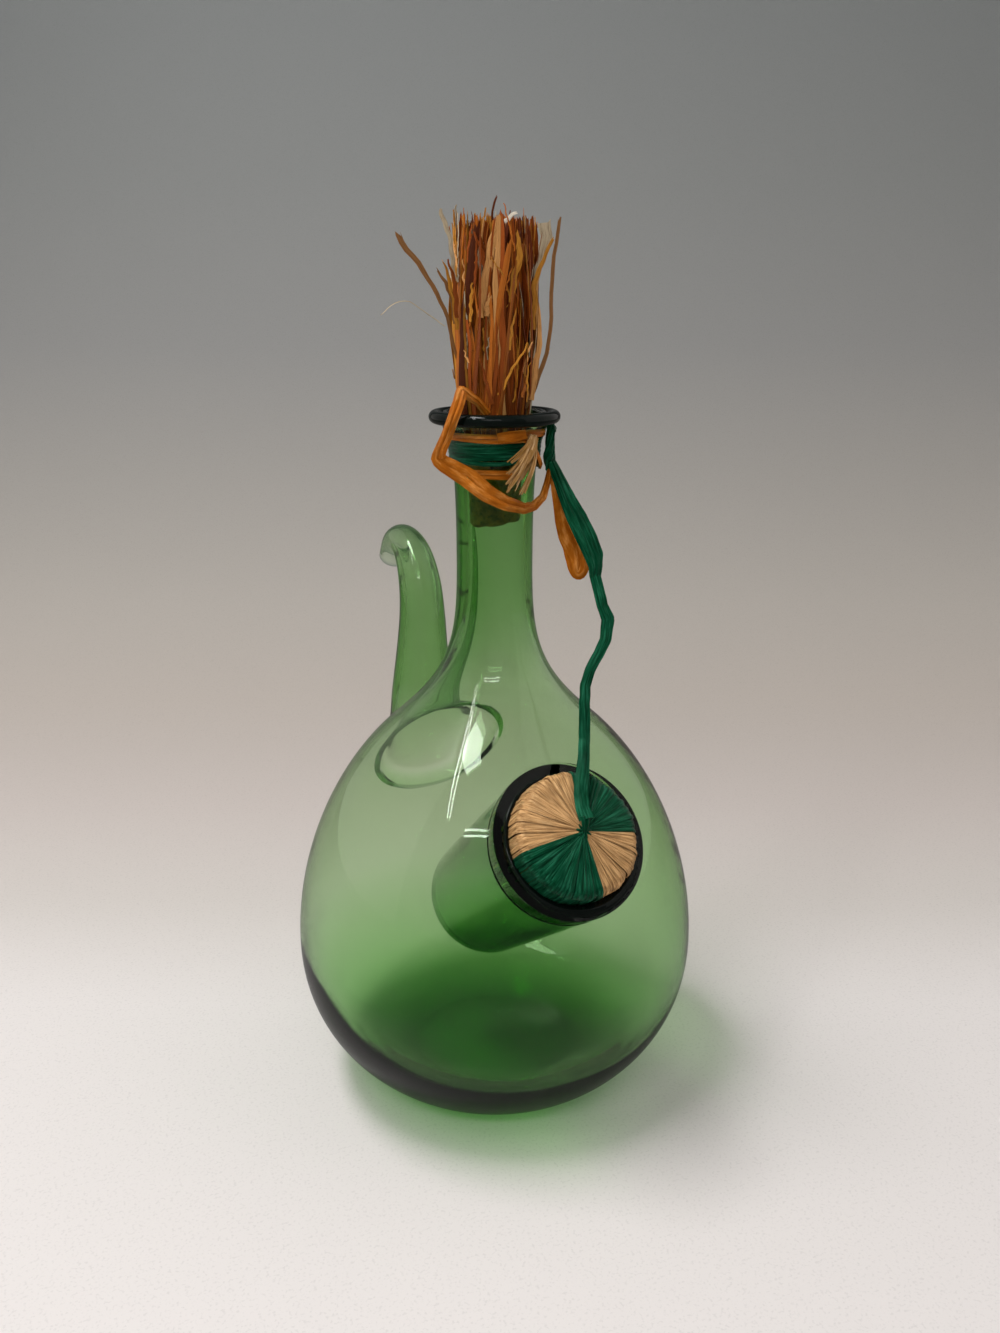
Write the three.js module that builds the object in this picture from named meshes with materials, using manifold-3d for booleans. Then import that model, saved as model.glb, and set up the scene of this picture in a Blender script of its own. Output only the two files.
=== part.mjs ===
// A blown glass wine decanter with an ice pocket in its shoulder, a curled pouring spout,
// a corked neck with a tuft of straw and a straw-wound stopper in the pocket.
// Millimetres, +Z up. The origin is the middle of the flat base.
// The pocket opens towards -Y and the spout rises on the +Y side.
import * as THREE from "three";
import { mergeVertices } from "three/addons/utils/BufferGeometryUtils.js";
import Module from "manifold-3d";

const wasm = await Module();
wasm.setup();

// Fits
const SEAT_GAP = 0.3; // between pieces that touch
const TURN_GAP = 0.5; // between neighbouring turns of a winding

// Flask
const BASE_RADIUS = 34; // the flat that it stands on
const BASE_THICKNESS = 9;
const BELLY_RADIUS = 78.6;
const BELLY_HEIGHT = 62;
const BELLY_WALL = 2.2;
const SHOULDER_WALL = 2.6;
const SHOULDER_RADIUS = 40.3; // where the shoulder's swell turns into the neck's sweep
const SHOULDER_HEIGHT = 150.5;
const SHOULDER_SLOPE = 41.5; // degrees above level
const NECK_RADIUS = 14.1; // at its narrowest
const NECK_HEIGHT = 215;
const NECK_BORE = 10.4; // radius
const COLLAR_RADIUS = 15.2; // where the stopper sits
const COLLAR_DROP = 17.6; // below the lip
const LIP_HEIGHT = 267.6;
const LIP_RADIUS = 18.9;
const LIP_WALL = 2;
const LIP_THREAD = 2.3; // section radius of the glass thread round the lip

// Ice pocket
const POCKET_HEIGHT = 125; // of the middle of its mouth
const POCKET_SLOPE = 38.2; // of its axis above level
const POCKET_BORE = 23.1; // radius at the mouth
const POCKET_WALL = 1.6;
const POCKET_DEPTH = 97;
const POCKET_TAPER = 1.6; // how much narrower it is at its closed end
const POCKET_END_ROUND = 14;
const POCKET_LIP_WIDTH = 2.2;
const POCKET_LIP_DEPTH = 3.8;

// Spout
const SPOUT_HEIGHT = 123; // of the middle of its root
const SPOUT_WALL = 1.8;
const SPOUT_HOLE = 23.4; // radius of the opening from the flask into it
// Places along its middle line: outwards and up from the root, and the outer radius there.
const SPOUT_COURSE = [
  [8.5, 6.0, 17.5],
  [13.0, 17.5, 13.8],
  [12.9, 34.0, 11.5],
  [12.1, 51.0, 10.0],
  [14.2, 65.0, 9.1],
  [21.0, 76.0, 8.1],
  [31.5, 81.0, 7.0],
  [41.5, 78.8, 6.4],
  [47.6, 71.0, 6.1],
];
const SPOUT_ROOT_RADIUS = 26;

// Neck stopper
const CORK_LENGTH = 24;
const CORK_TAPER = 0.6; // how much smaller its lower end is
const CORK_SOCKET_DEPTH = 8;
const CORK_RIM = 1; // wall left round the socket at the top
const STRAW_STRANDS = 330;
const STRAW_SPREAD = 12.4; // radius of the packed foot at its top, where the strands part
const STRAW_SPREAD_DROP = 5.6; // of that place below the lip
const STRAW_TOP_RADIUS = 19;
const STRAW_STANDING = 72; // above the lip
const STRAW_UNEVEN = 20; // how much shorter the shortest strand is

// Pocket stopper
const PLUG_PROUD = 9; // how far its rim stands out of the mouth
const PLUG_SUNK = 14; // how far it reaches into the pocket
const PLUG_FIT = 0.5; // radial clearance of the wound stopper
const PLUG_HOLE = 6; // radius of the hole that the raffia runs through
const PLUG_CROWN = 9; // degrees that its face falls from the middle to the rim
const PLUG_EDGE_ROUND = 4;
const PLUG_HOLE_ROUND = 1.5;
const BUTTON_RADIUS = 5; // of the knot in the middle of its face
const BUTTON_RISE = 2.6;
const RAFFIA_THICKNESS = 1.3;
const RAFFIA_TURNS = [6, 7, 6, 5]; // green, natural, green, natural
const RAFFIA_START = -9; // degrees, where the first green sector starts

// Ties on the neck
const TIE_STEPS = 16; // straight steps in one turn
const TIE_WIDTH = 1.55;
const TIE_THICKNESS = 0.9;
const TIE_BEND = 1; // radius of the turn into a knot
const WRAP_TURNS = 4;
const WRAP_DROP = 20; // below the lip, of its lowest turn
const KNOT_ANGLE = 56.5; // degrees from the front towards +X
const KNOT_LENGTH = 20;
const KNOT_DROP = 4.3; // below the lip, of its upper end
const BOW_DROP_HIGH = 7.4;
const BOW_DROP_LOW = 22.4;
const BOW_STEP = 2.2; // how far a turn of it falls in one round
const BOW_CROSSING = 38; // degrees in which it crosses the green turns
const FRAY_ANGLE = 9.5;
const FRAY_LENGTH = 17;
const FRAY_DROP = 9.6;
// Width and depth of a knot, from its top to its foot.
const GREEN_LUMPS = [
  [2.6, 2.2], [4, 2.8], [4.2, 3.4], [4.4, 3.6], [3.4, 3], [5.6, 4.2], [6, 4.6], [3.8, 3.6],
];
const FRAYED_LUMPS = [
  [5, 1.6], [7.4, 2.4], [8.4, 3], [7, 3], [5.6, 2.6], [6.4, 2.2], [4, 1.4],
];

// Loose ribbons
const LOOP_WIDTH = 4.6;
const LOOP_END_WIDTH = 2.6;
const LOOP_THICKNESS = 0.9;
const TAIL_THICKNESS = 1;
const LEAF_THICKNESS = 1.6;
// The angle from the front, how far outside the lip's thread, and the drop below the lip.
const LOOP_COURSE = [
  [-37, -9.9, 5.4], [-38, -8.8, -2.1], [-48, -5.4, -6], [-57, -2, -8.5], [-60, 1.7, -4],
  [-63, 3.4, 2.7], [-69, 3.3, 9.7], [-74, 2.2, 14.4], [-66, 0.3, 18.6], [-49, -2.5, 22.6],
  [-19, -4.7, 28.6], [11, -5, 33], [36, -4.7, 31.6], [48.5, -3.4, 24.6],
];
// How far to the right, to the front and down from the green knot's foot, and the width.
const TAIL_COURSE = [
  [-1.2, 0.2, 0, 1.4], [-0.9, 0.8, 8, 2.6], [0.4, 2.4, 18, 3.2], [1.7, 3.8, 26, 3.2],
  [3.6, 5.3, 32.5, 3], [6.7, 7, 35, 2.8], [9.6, 8, 32, 3], [9.2, 6.8, 25.5, 3.2],
  [6.6, 4.6, 17, 3.2], [3.5, 1.8, 8, 2.6], [1.2, 0.8, 0, 1.4],
];
const LEAF_COURSE = [
  [0.6, 3, 0, 2.4], [3.2, 6.4, 4.5, 5.4], [7.6, 10.6, 13.5, 7.6], [10.9, 14.4, 22, 8.4],
  [12.2, 17, 28.4, 7],
];

// Tether, a free ribbon from the leaf to the pocket's stopper
const TETHER_WIDTH = 3.9;
const TETHER_THICKNESS = 1.4;
const TETHER_POINTS = [
  [28.1, -29.6, 211.4],
  [27.5, -32.4, 206.0],
  [27.1, -34.6, 200.9],
  [27.6, -37.0, 196.4],
  [25.2, -40.0, 189.7],
  [22.2, -41.3, 184.8],
  [18.3, -42.5, 180.1],
  [15.0, -44.0, 175.0],
  [13.1, -46.5, 169.6],
  [11.9, -49.8, 163.8],
  [10.3, -52.9, 158.6],
  [8.0, -56.0, 154.6],
  [5.6, -58.8, 151.0],
  [3.4, -61.6, 147.6],
  [1.8, -65.2, 144.0],
  [0.8, -69.0, 140.6],
  [0.3, -72.2, 137.9],
];

const UP = new THREE.Vector3(0, 0, 1);
const GLASS_SIDES = 40;
const POCKET_SIDES = 36;
const RIBBON_SECTION = [[1, 0], [0.75, 1], [-0.75, 1], [-1, 0], [-0.75, -1], [0.75, -1]];
const FLAT_SECTION = [[1, 1], [-1, 1], [-1, -1], [1, -1]];

const radians = THREE.MathUtils.degToRad;
const vector = (x, y, z) => new THREE.Vector3(x, y, z);

// Closed geometry to a solid and back

function solidOf(geometry) {
  const bare = geometry.clone();
  bare.deleteAttribute("normal");
  bare.deleteAttribute("uv");
  const merged = mergeVertices(bare, 1e-4);
  return new wasm.Manifold(new wasm.Mesh({
    numProp: 3,
    vertProperties: merged.getAttribute("position").array,
    triVerts: new Uint32Array(merged.index.array),
  }));
}

function geometryOf(solid) {
  const mesh = solid.getMesh();
  const geometry = new THREE.BufferGeometry();
  geometry.setAttribute("position", new THREE.BufferAttribute(mesh.vertProperties, 3));
  geometry.setIndex(new THREE.BufferAttribute(mesh.triVerts, 1));
  geometry.computeVertexNormals();
  return geometry;
}

// A profile of [radius, height] pairs turned round Z. It runs up the outside and down the inside.
function turned(profile, sides) {
  const points = profile.map(([radius, height]) => new THREE.Vector2(radius, height));
  return new THREE.LatheGeometry(points, sides).rotateX(Math.PI / 2);
}

function cylinder(radius, from, to) {
  const geometry = new THREE.CylinderGeometry(radius, radius, to - from, GLASS_SIDES);
  return geometry.rotateX(Math.PI / 2).translate(0, 0, (from + to) / 2);
}

// A closed skin over rings of points. A looped skin comes back to its first ring.
function loft(rings, looped = false) {
  const sides = rings[0].length;
  const index = [];
  const steps = looped ? rings.length : rings.length - 1;
  for (let i = 0; i < steps; i++) {
    const next = (i + 1) % rings.length;
    for (let k = 0; k < sides; k++) {
      const beside = (k + 1) % sides;
      index.push(i * sides + k, i * sides + beside, next * sides + beside);
      index.push(i * sides + k, next * sides + beside, next * sides + k);
    }
  }
  const last = (rings.length - 1) * sides;
  for (let k = 1; k < sides - 1 && !looped; k++) {
    index.push(0, k + 1, k);
    index.push(last, last + k, last + k + 1);
  }
  const geometry = new THREE.BufferGeometry();
  geometry.setAttribute(
    "position",
    new THREE.Float32BufferAttribute(rings.flat().flatMap((p) => p.toArray()), 3),
  );
  geometry.setIndex(index);
  geometry.computeVertexNormals();
  return geometry;
}

// One ring of a section, with its width along across and its thickness along face.
function sectionRing(section, centre, across, face, width, thickness) {
  return section.map(([x, y]) => centre.clone()
    .addScaledVector(across, (x * width) / 2)
    .addScaledVector(face, (y * thickness) / 2));
}

// A ribbon through stations of { at, face, width, thickness }, flat side towards face.
function ribbonRings(stations) {
  return stations.map(({ at, face, width, thickness }, i) => {
    const before = stations[Math.max(i - 1, 0)].at;
    const after = stations[Math.min(i + 1, stations.length - 1)].at;
    const along = after.clone().sub(before).normalize();
    const across = face.clone().cross(along).normalize();
    const outward = along.clone().cross(across).normalize();
    return sectionRing(RIBBON_SECTION, at, across, outward, width, thickness);
  });
}

// The least distance between points of a tube that lie more than half a turn apart along it.
function leastGap(rings, turnSteps) {
  let least = Infinity;
  const apart = Math.floor(turnSteps / 2);
  rings.forEach((ring, i) => {
    for (let j = i + apart; j < rings.length; j++) {
      if (rings[j][0].distanceTo(ring[0]) > 12) continue;
      for (const p of ring) {
        for (const q of rings[j]) least = Math.min(least, p.distanceTo(q));
      }
    }
  });
  return least;
}

// Flask

function bezier(from, fromHandle, toHandle, to, steps) {
  const curve = new THREE.CubicBezierCurve(
    new THREE.Vector2(...from),
    new THREE.Vector2(...fromHandle),
    new THREE.Vector2(...toHandle),
    new THREE.Vector2(...to),
  );
  return curve.getPoints(steps).map((p) => [p.x, p.y]);
}

const shoulderAlong = [-Math.cos(radians(SHOULDER_SLOPE)), Math.sin(radians(SHOULDER_SLOPE))];
const shoulderInward = [-shoulderAlong[1], shoulderAlong[0]];

// Handles reach this share of the way between the points that they shape.
const LOWER_REACH = 0.665;
const UPPER_REACH = 0.39;
const SWEEP_REACH = 0.5;

function sweptNeck(shoulder, neck, steps) {
  const reach = SWEEP_REACH * (neck[1] - shoulder[1]);
  return bezier(
    shoulder,
    [shoulder[0] + reach * shoulderAlong[0], shoulder[1] + reach * shoulderAlong[1]],
    [neck[0], neck[1] - reach],
    neck,
    steps,
  );
}

function swell(belly, shoulder, steps) {
  const reach = UPPER_REACH * (shoulder[1] - belly[1]);
  return bezier(
    belly,
    [belly[0], belly[1] + reach],
    [shoulder[0] - 0.88 * reach * shoulderAlong[0], shoulder[1] - 0.88 * reach * shoulderAlong[1]],
    shoulder,
    steps,
  );
}

const belly = [BELLY_RADIUS, BELLY_HEIGHT];
const shoulder = [SHOULDER_RADIUS, SHOULDER_HEIGHT];
const collarHeight = LIP_HEIGHT - COLLAR_DROP;
const outerSide = [
  ...bezier(
    [BASE_RADIUS, 0],
    [BASE_RADIUS + 0.2 * (BELLY_RADIUS - BASE_RADIUS), 0],
    [BELLY_RADIUS, BELLY_HEIGHT * (1 - LOWER_REACH)],
    belly,
    6,
  ),
  ...swell(belly, shoulder, 5).slice(1),
  ...sweptNeck(shoulder, [NECK_RADIUS, NECK_HEIGHT], 6).slice(1),
  [COLLAR_RADIUS, collarHeight],
];
const collarToLip = [
  [COLLAR_RADIUS + 0.6, LIP_HEIGHT - 10.5],
  [LIP_RADIUS - 1.2, LIP_HEIGHT - 4.8],
  [LIP_RADIUS, LIP_HEIGHT - 3],
  [LIP_RADIUS, LIP_HEIGHT],
  [LIP_RADIUS - LIP_WALL / 2, LIP_HEIGHT + LIP_WALL / 3],
  [LIP_RADIUS - LIP_WALL, LIP_HEIGHT],
  [LIP_RADIUS - LIP_WALL, LIP_HEIGHT - 3],
];
const boreTop = collarHeight - 1;
const innerBelly = [BELLY_RADIUS - BELLY_WALL, BELLY_HEIGHT + 6];
const innerShoulder = [
  SHOULDER_RADIUS + SHOULDER_WALL * shoulderInward[0],
  SHOULDER_HEIGHT + SHOULDER_WALL * shoulderInward[1],
];
const innerSide = [
  [LIP_RADIUS - LIP_WALL - 4.1, LIP_HEIGHT - 10],
  [NECK_BORE, boreTop],
  ...sweptNeck(innerShoulder, [NECK_BORE, NECK_HEIGHT], 5).reverse(),
  ...swell(innerBelly, innerShoulder, 4).reverse().slice(1),
  ...bezier(
    innerBelly,
    [innerBelly[0], 0.35 * innerBelly[1]],
    [BASE_RADIUS + 16, BASE_THICKNESS],
    [0, BASE_THICKNESS],
    6,
  ).slice(1),
];

// The outside radius of the flask at a height.
function flaskRadius(height) {
  const side = [...outerSide, ...collarToLip.slice(0, 4)];
  const i = side.findIndex((p) => p[1] >= height);
  const [low, high] = [side[i - 1], side[i]];
  return low[0] + ((high[0] - low[0]) * (height - low[1])) / (high[1] - low[1]);
}

// The slope of the flask's outward normal above level, at a height on its shoulder.
function flaskNormal(height) {
  return Math.atan2(flaskRadius(height - 2) - flaskRadius(height + 2), 4);
}

// Places and directions of the pocket and the spout's root

const pocketPlace = new THREE.Matrix4()
  .makeRotationX(radians(90 - POCKET_SLOPE))
  .setPosition(0, -flaskRadius(POCKET_HEIGHT), POCKET_HEIGHT);
const spoutNormal = flaskNormal(SPOUT_HEIGHT);
const spoutRoot = vector(0, flaskRadius(SPOUT_HEIGHT), SPOUT_HEIGHT);
const spoutPlace = new THREE.Matrix4()
  .makeRotationX(spoutNormal - Math.PI / 2)
  .setPosition(spoutRoot);

const pocketOuter = POCKET_BORE + POCKET_WALL;
const pocketLipOuter = pocketOuter + SEAT_GAP + POCKET_LIP_WIDTH;

function flask() {
  const glass = solidOf(turned([[0, 0], ...outerSide, ...collarToLip, ...innerSide], GLASS_SIDES));
  const past = POCKET_DEPTH;
  const pocketHole = cylinder(pocketOuter + SEAT_GAP, -past / 3, past).applyMatrix4(pocketPlace);
  const lipRoom = cylinder(
    pocketLipOuter + SEAT_GAP,
    -POCKET_LIP_DEPTH / 2 - SEAT_GAP,
    past,
  ).applyMatrix4(pocketPlace);
  const spoutHole = cylinder(SPOUT_HOLE, -past / 5, past / 5).applyMatrix4(spoutPlace);
  return geometryOf(glass
    .subtract(solidOf(pocketHole))
    .subtract(solidOf(lipRoom))
    .subtract(solidOf(spoutHole)));
}

function lipRing() {
  const ring = new THREE.TorusGeometry(LIP_RADIUS + SEAT_GAP + LIP_THREAD, LIP_THREAD, 8, GLASS_SIDES);
  return ring.translate(0, 0, LIP_HEIGHT - 1.6);
}

// Ice pocket, in its own frame: Z points out of its mouth and the mouth's middle is the origin.

function icePocket() {
  const endOuter = pocketOuter - POCKET_TAPER;
  const endInner = POCKET_BORE - POCKET_TAPER;
  const endRound = (radius, depth, steps) => {
    const round = POCKET_END_ROUND - (pocketOuter - radius - POCKET_TAPER);
    return Array.from({ length: steps + 1 }, (_, i) => {
      const turn = (i * Math.PI) / (2 * steps);
      return [radius - round + round * Math.sin(turn), -depth + round - round * Math.cos(turn)];
    });
  };
  const rim = POCKET_LIP_DEPTH / 2;
  return turned([
    [0, -POCKET_DEPTH],
    ...endRound(endOuter, POCKET_DEPTH, 4),
    [pocketOuter, -PLUG_SUNK],
    [pocketOuter, rim - POCKET_WALL / 2],
    [pocketOuter - POCKET_WALL / 2, rim],
    [POCKET_BORE, rim - POCKET_WALL / 2],
    [POCKET_BORE, -PLUG_SUNK / 2],
    ...endRound(endInner, POCKET_DEPTH - POCKET_WALL, 4).reverse(),
    [0, -POCKET_DEPTH + POCKET_WALL],
  ], POCKET_SIDES);
}

function pocketLip() {
  const middle = pocketOuter + SEAT_GAP + POCKET_LIP_WIDTH / 2;
  const profile = Array.from({ length: 9 }, (_, i) => {
    const turn = (i * Math.PI) / 4;
    return [
      middle + (POCKET_LIP_WIDTH / 2) * Math.cos(turn),
      (POCKET_LIP_DEPTH / 2) * Math.sin(turn),
    ];
  });
  return turned(profile, POCKET_SIDES);
}

// Spout: a flared tube whose foot is cut to the flask's outside.

const SPOUT_SIDES = 18;
const SPOUT_STEPS = 14;

function spout() {
  const inward = vector(0, -Math.cos(spoutNormal), -Math.sin(spoutNormal));
  const [out, up, radius] = SPOUT_COURSE[0];
  const flare = (SPOUT_ROOT_RADIUS - radius) / Math.hypot(out, up);
  const below = 5;
  const course = [
    [spoutRoot.clone().addScaledVector(inward, below), SPOUT_ROOT_RADIUS + below * flare],
    [spoutRoot, SPOUT_ROOT_RADIUS],
    ...SPOUT_COURSE.map(([y, z, r]) => [spoutRoot.clone().add(vector(0, y, z)), r]),
  ];
  const middle = new THREE.CatmullRomCurve3(course.map(([place]) => place));
  const radiusAt = new THREE.SplineCurve(course.map(([, r], i) => new THREE.Vector2(i, r)));
  const ringAt = (t, thinner, beyond = 0) => {
    const along = middle.getTangent(t);
    const centre = middle.getPoint(t).addScaledVector(along, beyond);
    const across = vector(1, 0, 0);
    const above = along.clone().cross(across);
    const reach = radiusAt.getPoint(t).y - thinner;
    return Array.from({ length: SPOUT_SIDES }, (_, k) => {
      const turn = (2 * Math.PI * k) / SPOUT_SIDES;
      return centre.clone()
        .addScaledVector(across, reach * Math.cos(turn))
        .addScaledVector(above, reach * Math.sin(turn));
    });
  };
  const outside = Array.from({ length: SPOUT_STEPS + 1 }, (_, i) => ringAt(i / SPOUT_STEPS, 0));
  const inside = outside.map((_, i) => ringAt(1 - i / SPOUT_STEPS, SPOUT_WALL));
  const lip = ringAt(1, SPOUT_WALL / 2, SPOUT_WALL / 3);
  const tube = solidOf(loft([...outside, lip, ...inside], true));
  const body = outerSide.map(([radius, height]) => [radius + SEAT_GAP, height]);
  const keepOut = solidOf(turned([[0, 0], ...body, [0, collarHeight]], GLASS_SIDES));
  return geometryOf(tube.subtract(keepOut));
}

// Neck stopper

const corkTop = collarHeight;
const corkRadius = NECK_BORE - SEAT_GAP - 0.1;
const socketFloor = corkTop - CORK_SOCKET_DEPTH;
const socketRadius = corkRadius - CORK_RIM;
const socketFootRadius = socketRadius - 1.1;
const strawFoot = socketFloor + SEAT_GAP;
const strawPart = LIP_HEIGHT - STRAW_SPREAD_DROP;

function neckCork() {
  const foot = corkTop - CORK_LENGTH;
  const chamfer = 1.2;
  return turned([
    [0, foot],
    [corkRadius - CORK_TAPER - chamfer, foot],
    [corkRadius - CORK_TAPER, foot + chamfer],
    [corkRadius, corkTop - chamfer / 2],
    [corkRadius - chamfer / 3, corkTop],
    [socketRadius, corkTop],
    [socketFootRadius, socketFloor],
    [0, socketFloor],
  ], 32);
}

// Strands stand in a sunflower pattern and flare alike, so none crosses another.
function strawStrand(i) {
  const turn = i * Math.PI * (3 - Math.sqrt(5));
  const share = 0.96 * Math.sqrt((i + 0.5) / STRAW_STRANDS);
  const shortness = (i * Math.SQRT2) % 1;
  const full = LIP_HEIGHT + STRAW_STANDING;
  const root = strawPart - 2;
  const levels = [root, full - STRAW_UNEVEN * shortness ** 2];
  const half = 0.55 / Math.sqrt(STRAW_STRANDS);
  return levels.map((z) => {
    const spread = STRAW_SPREAD
      + ((STRAW_TOP_RADIUS - STRAW_SPREAD) * (z - strawPart)) / (full - strawPart);
    return Array.from({ length: 3 }, (_, k) => {
      const corner = i + (2 * Math.PI * k) / 3;
      return vector(
        spread * (share * Math.cos(turn) + half * Math.cos(corner)),
        spread * (share * Math.sin(turn) + half * Math.sin(corner)),
        z,
      );
    });
  });
}

// A quarter of the packed foot, with the strands that stand on it.
function strawQuarter(quarter) {
  const slot = SEAT_GAP / 2;
  const levels = [
    [strawFoot, socketFootRadius - SEAT_GAP],
    [corkTop, socketRadius - SEAT_GAP - 0.1],
    [strawPart, STRAW_SPREAD],
  ];
  const arcSteps = 6;
  const foot = loft(levels.map(([z, radius]) => {
    const edge = Math.asin(slot / radius);
    const arc = Array.from({ length: arcSteps + 1 }, (_, k) => {
      const turn = edge + ((Math.PI / 2 - 2 * edge) * k) / arcSteps;
      return vector(radius * Math.cos(turn), radius * Math.sin(turn), z);
    });
    return [vector(slot, slot, z), ...arc];
  }));
  const turn = (quarter * Math.PI) / 2;
  let tuft = solidOf(foot.rotateZ(turn));
  let strands = 0;
  for (let i = 0; i < STRAW_STRANDS; i++) {
    const rings = strawStrand(i);
    const middle = rings[0].reduce((sum, p) => sum.add(p), vector(0, 0, 0)).divideScalar(3);
    middle.applyAxisAngle(UP, -turn);
    if (Math.min(middle.x, middle.y) < SEAT_GAP + slot) continue;
    tuft = tuft.add(solidOf(loft(rings)));
    strands += 1;
  }
  console.log(`straw quarter: ${strands} strands`);
  return geometryOf(tuft);
}

// Pocket stopper, in the pocket's frame

const raffiaRoom = SEAT_GAP + RAFFIA_THICKNESS;
const plugRadius = POCKET_BORE - PLUG_FIT - raffiaRoom;
const plugTop = PLUG_PROUD - raffiaRoom;
const plugBottom = -PLUG_SUNK + raffiaRoom;
const crown = radians(PLUG_CROWN);
const raffiaTurns = RAFFIA_TURNS.reduce((sum, turns) => sum + turns, 0);

// The rounded outline of the ring of cork, grown by offset. It starts in the hole, going up.
function plugOutline(offset, arcSteps) {
  const inner = PLUG_HOLE + PLUG_HOLE_ROUND;
  const outer = plugRadius - PLUG_EDGE_ROUND;
  const rise = (outer - inner) * Math.tan(crown);
  const facing = Math.PI / 2 - crown;
  const corners = [
    [inner, plugTop - PLUG_HOLE_ROUND + rise, PLUG_HOLE_ROUND, Math.PI, facing],
    [outer, plugTop - PLUG_EDGE_ROUND, PLUG_EDGE_ROUND, facing, 0],
    [outer, plugBottom + PLUG_EDGE_ROUND, PLUG_EDGE_ROUND, 0, -Math.PI / 2],
    [inner, plugBottom + PLUG_HOLE_ROUND, PLUG_HOLE_ROUND, -Math.PI / 2, -Math.PI],
  ];
  return corners.flatMap(([x, y, round, from, to]) =>
    Array.from({ length: arcSteps + 1 }, (_, i) => {
      const angle = from + ((to - from) * i) / arcSteps;
      const reach = round + offset;
      return { radius: x + reach * Math.cos(angle), height: y + reach * Math.sin(angle), angle };
    }));
}

function iceCork() {
  const outline = plugOutline(0, 2).reverse().map(({ radius, height }) => [radius, height]);
  return turned([...outline, outline[0]], 30);
}

// Raffia that runs up through the hole, over the face, down the rim and back below.
const raffiaCourse = plugOutline(SEAT_GAP + RAFFIA_THICKNESS / 2, 2);
const holeMiddle = (raffiaCourse[0].height + raffiaCourse.at(-1).height) / 2;
raffiaCourse.unshift({ ...raffiaCourse[0], height: holeMiddle, angle: Math.PI });

function raffiaRings(firstTurn, turns) {
  const steps = raffiaCourse.length;
  const endGap = 0.06; // of a step, where one sector's raffia stops short of the next
  const ringAt = (position) => {
    const step = Math.floor(position);
    const here = raffiaCourse[step % steps];
    const next = raffiaCourse[(step + 1) % steps];
    const share = position - step;
    const radius = here.radius + (next.radius - here.radius) * share;
    const height = here.height + (next.height - here.height) * share;
    const turn = firstTurn + position / steps;
    const angle = radians(RAFFIA_START) + (2 * Math.PI * turn) / raffiaTurns;
    const out = vector(Math.cos(angle), Math.sin(angle), 0);
    const across = vector(-Math.sin(angle), Math.cos(angle), 0);
    const face = out.clone()
      .multiplyScalar(Math.cos(here.angle))
      .addScaledVector(UP, Math.sin(here.angle));
    const pitch = (2 * Math.PI * radius) / raffiaTurns;
    const centre = out.clone().multiplyScalar(radius).addScaledVector(UP, height);
    return sectionRing(RIBBON_SECTION, centre, across, face, pitch - TURN_GAP, RAFFIA_THICKNESS);
  };
  const rings = [ringAt(endGap)];
  for (let step = 1; step < steps * turns; step++) rings.push(ringAt(step));
  rings.push(ringAt(steps * turns - endGap));
  return rings;
}

const faceHeight = plugTop + raffiaRoom
  + (plugRadius - PLUG_EDGE_ROUND - PLUG_HOLE - PLUG_HOLE_ROUND) * Math.tan(crown);

// The knot that the tether ends in: a domed button with a stem down the hole.
function centreKnot() {
  const stem = PLUG_HOLE - raffiaRoom - SEAT_GAP;
  const rest = faceHeight + SEAT_GAP;
  return turned([
    [0, rest - PLUG_PROUD],
    [stem - 1, rest - PLUG_PROUD],
    [stem, rest - PLUG_PROUD + 1],
    [stem, rest],
    [BUTTON_RADIUS * 0.9, rest],
    [BUTTON_RADIUS, rest + BUTTON_RISE * 0.3],
    [BUTTON_RADIUS * 0.75, rest + BUTTON_RISE * 0.8],
    [BUTTON_RADIUS * 0.4, rest + BUTTON_RISE],
    [0, rest + BUTTON_RISE],
  ], 16);
}

// Ties on the neck

// A point at an angle from the front towards +X, a radius and a drop below the lip.
function around(angle, radius, drop) {
  const turn = radians(angle - 90);
  return vector(radius * Math.cos(turn), radius * Math.sin(turn), LIP_HEIGHT - drop);
}

const outwardAt = (angle) => around(angle, 1, LIP_HEIGHT);

// The radius of a tie's corners where its straight steps just clear the neck at that drop.
function tieRadius(drop) {
  const middle = flaskRadius(LIP_HEIGHT - drop) + SEAT_GAP + TIE_THICKNESS / 2;
  return middle / Math.cos(Math.PI / TIE_STEPS);
}

// A tie's middle line: straight in from its knot, round the neck, and straight out again.
// stops are the places along it, in turns.
function tieStations(angle, stops, dropAt, radiusAt) {
  const lead = (turn, side) => {
    const here = angle + 360 * turn;
    const radius = radiusAt(turn);
    const out = outwardAt(here);
    const along = UP.clone().cross(out).multiplyScalar(side);
    const middle = around(here, radius + TIE_BEND, dropAt(turn));
    const bend = [0, 0.5].map((share) => middle.clone()
      .addScaledVector(along, TIE_BEND * Math.cos((share * Math.PI) / 2))
      .addScaledVector(out, -TIE_BEND * Math.sin((share * Math.PI) / 2)));
    return [bend[0].clone().addScaledVector(out, TIE_WIDTH), ...bend];
  };
  const round = stops.map((turn) => around(angle + 360 * turn, radiusAt(turn), dropAt(turn)));
  return [...lead(0, -1), ...round, ...lead(stops.at(-1), 1).reverse()];
}

function tieRings(points) {
  return points.map((at, i) => {
    const before = points[Math.max(i - 1, 0)];
    const after = points[Math.min(i + 1, points.length - 1)];
    const along = after.clone().sub(before).normalize();
    const face = along.clone().cross(UP).normalize();
    const across = face.clone().cross(along);
    return sectionRing(FLAT_SECTION, at, across, face, TIE_WIDTH, TIE_THICKNESS);
  });
}

const wrapPitch = TIE_WIDTH + TURN_GAP;
const evenly = (from, to, steps) => Array.from(
  { length: steps + 1 },
  (_, i) => from + ((to - from) * i) / steps,
);

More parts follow.
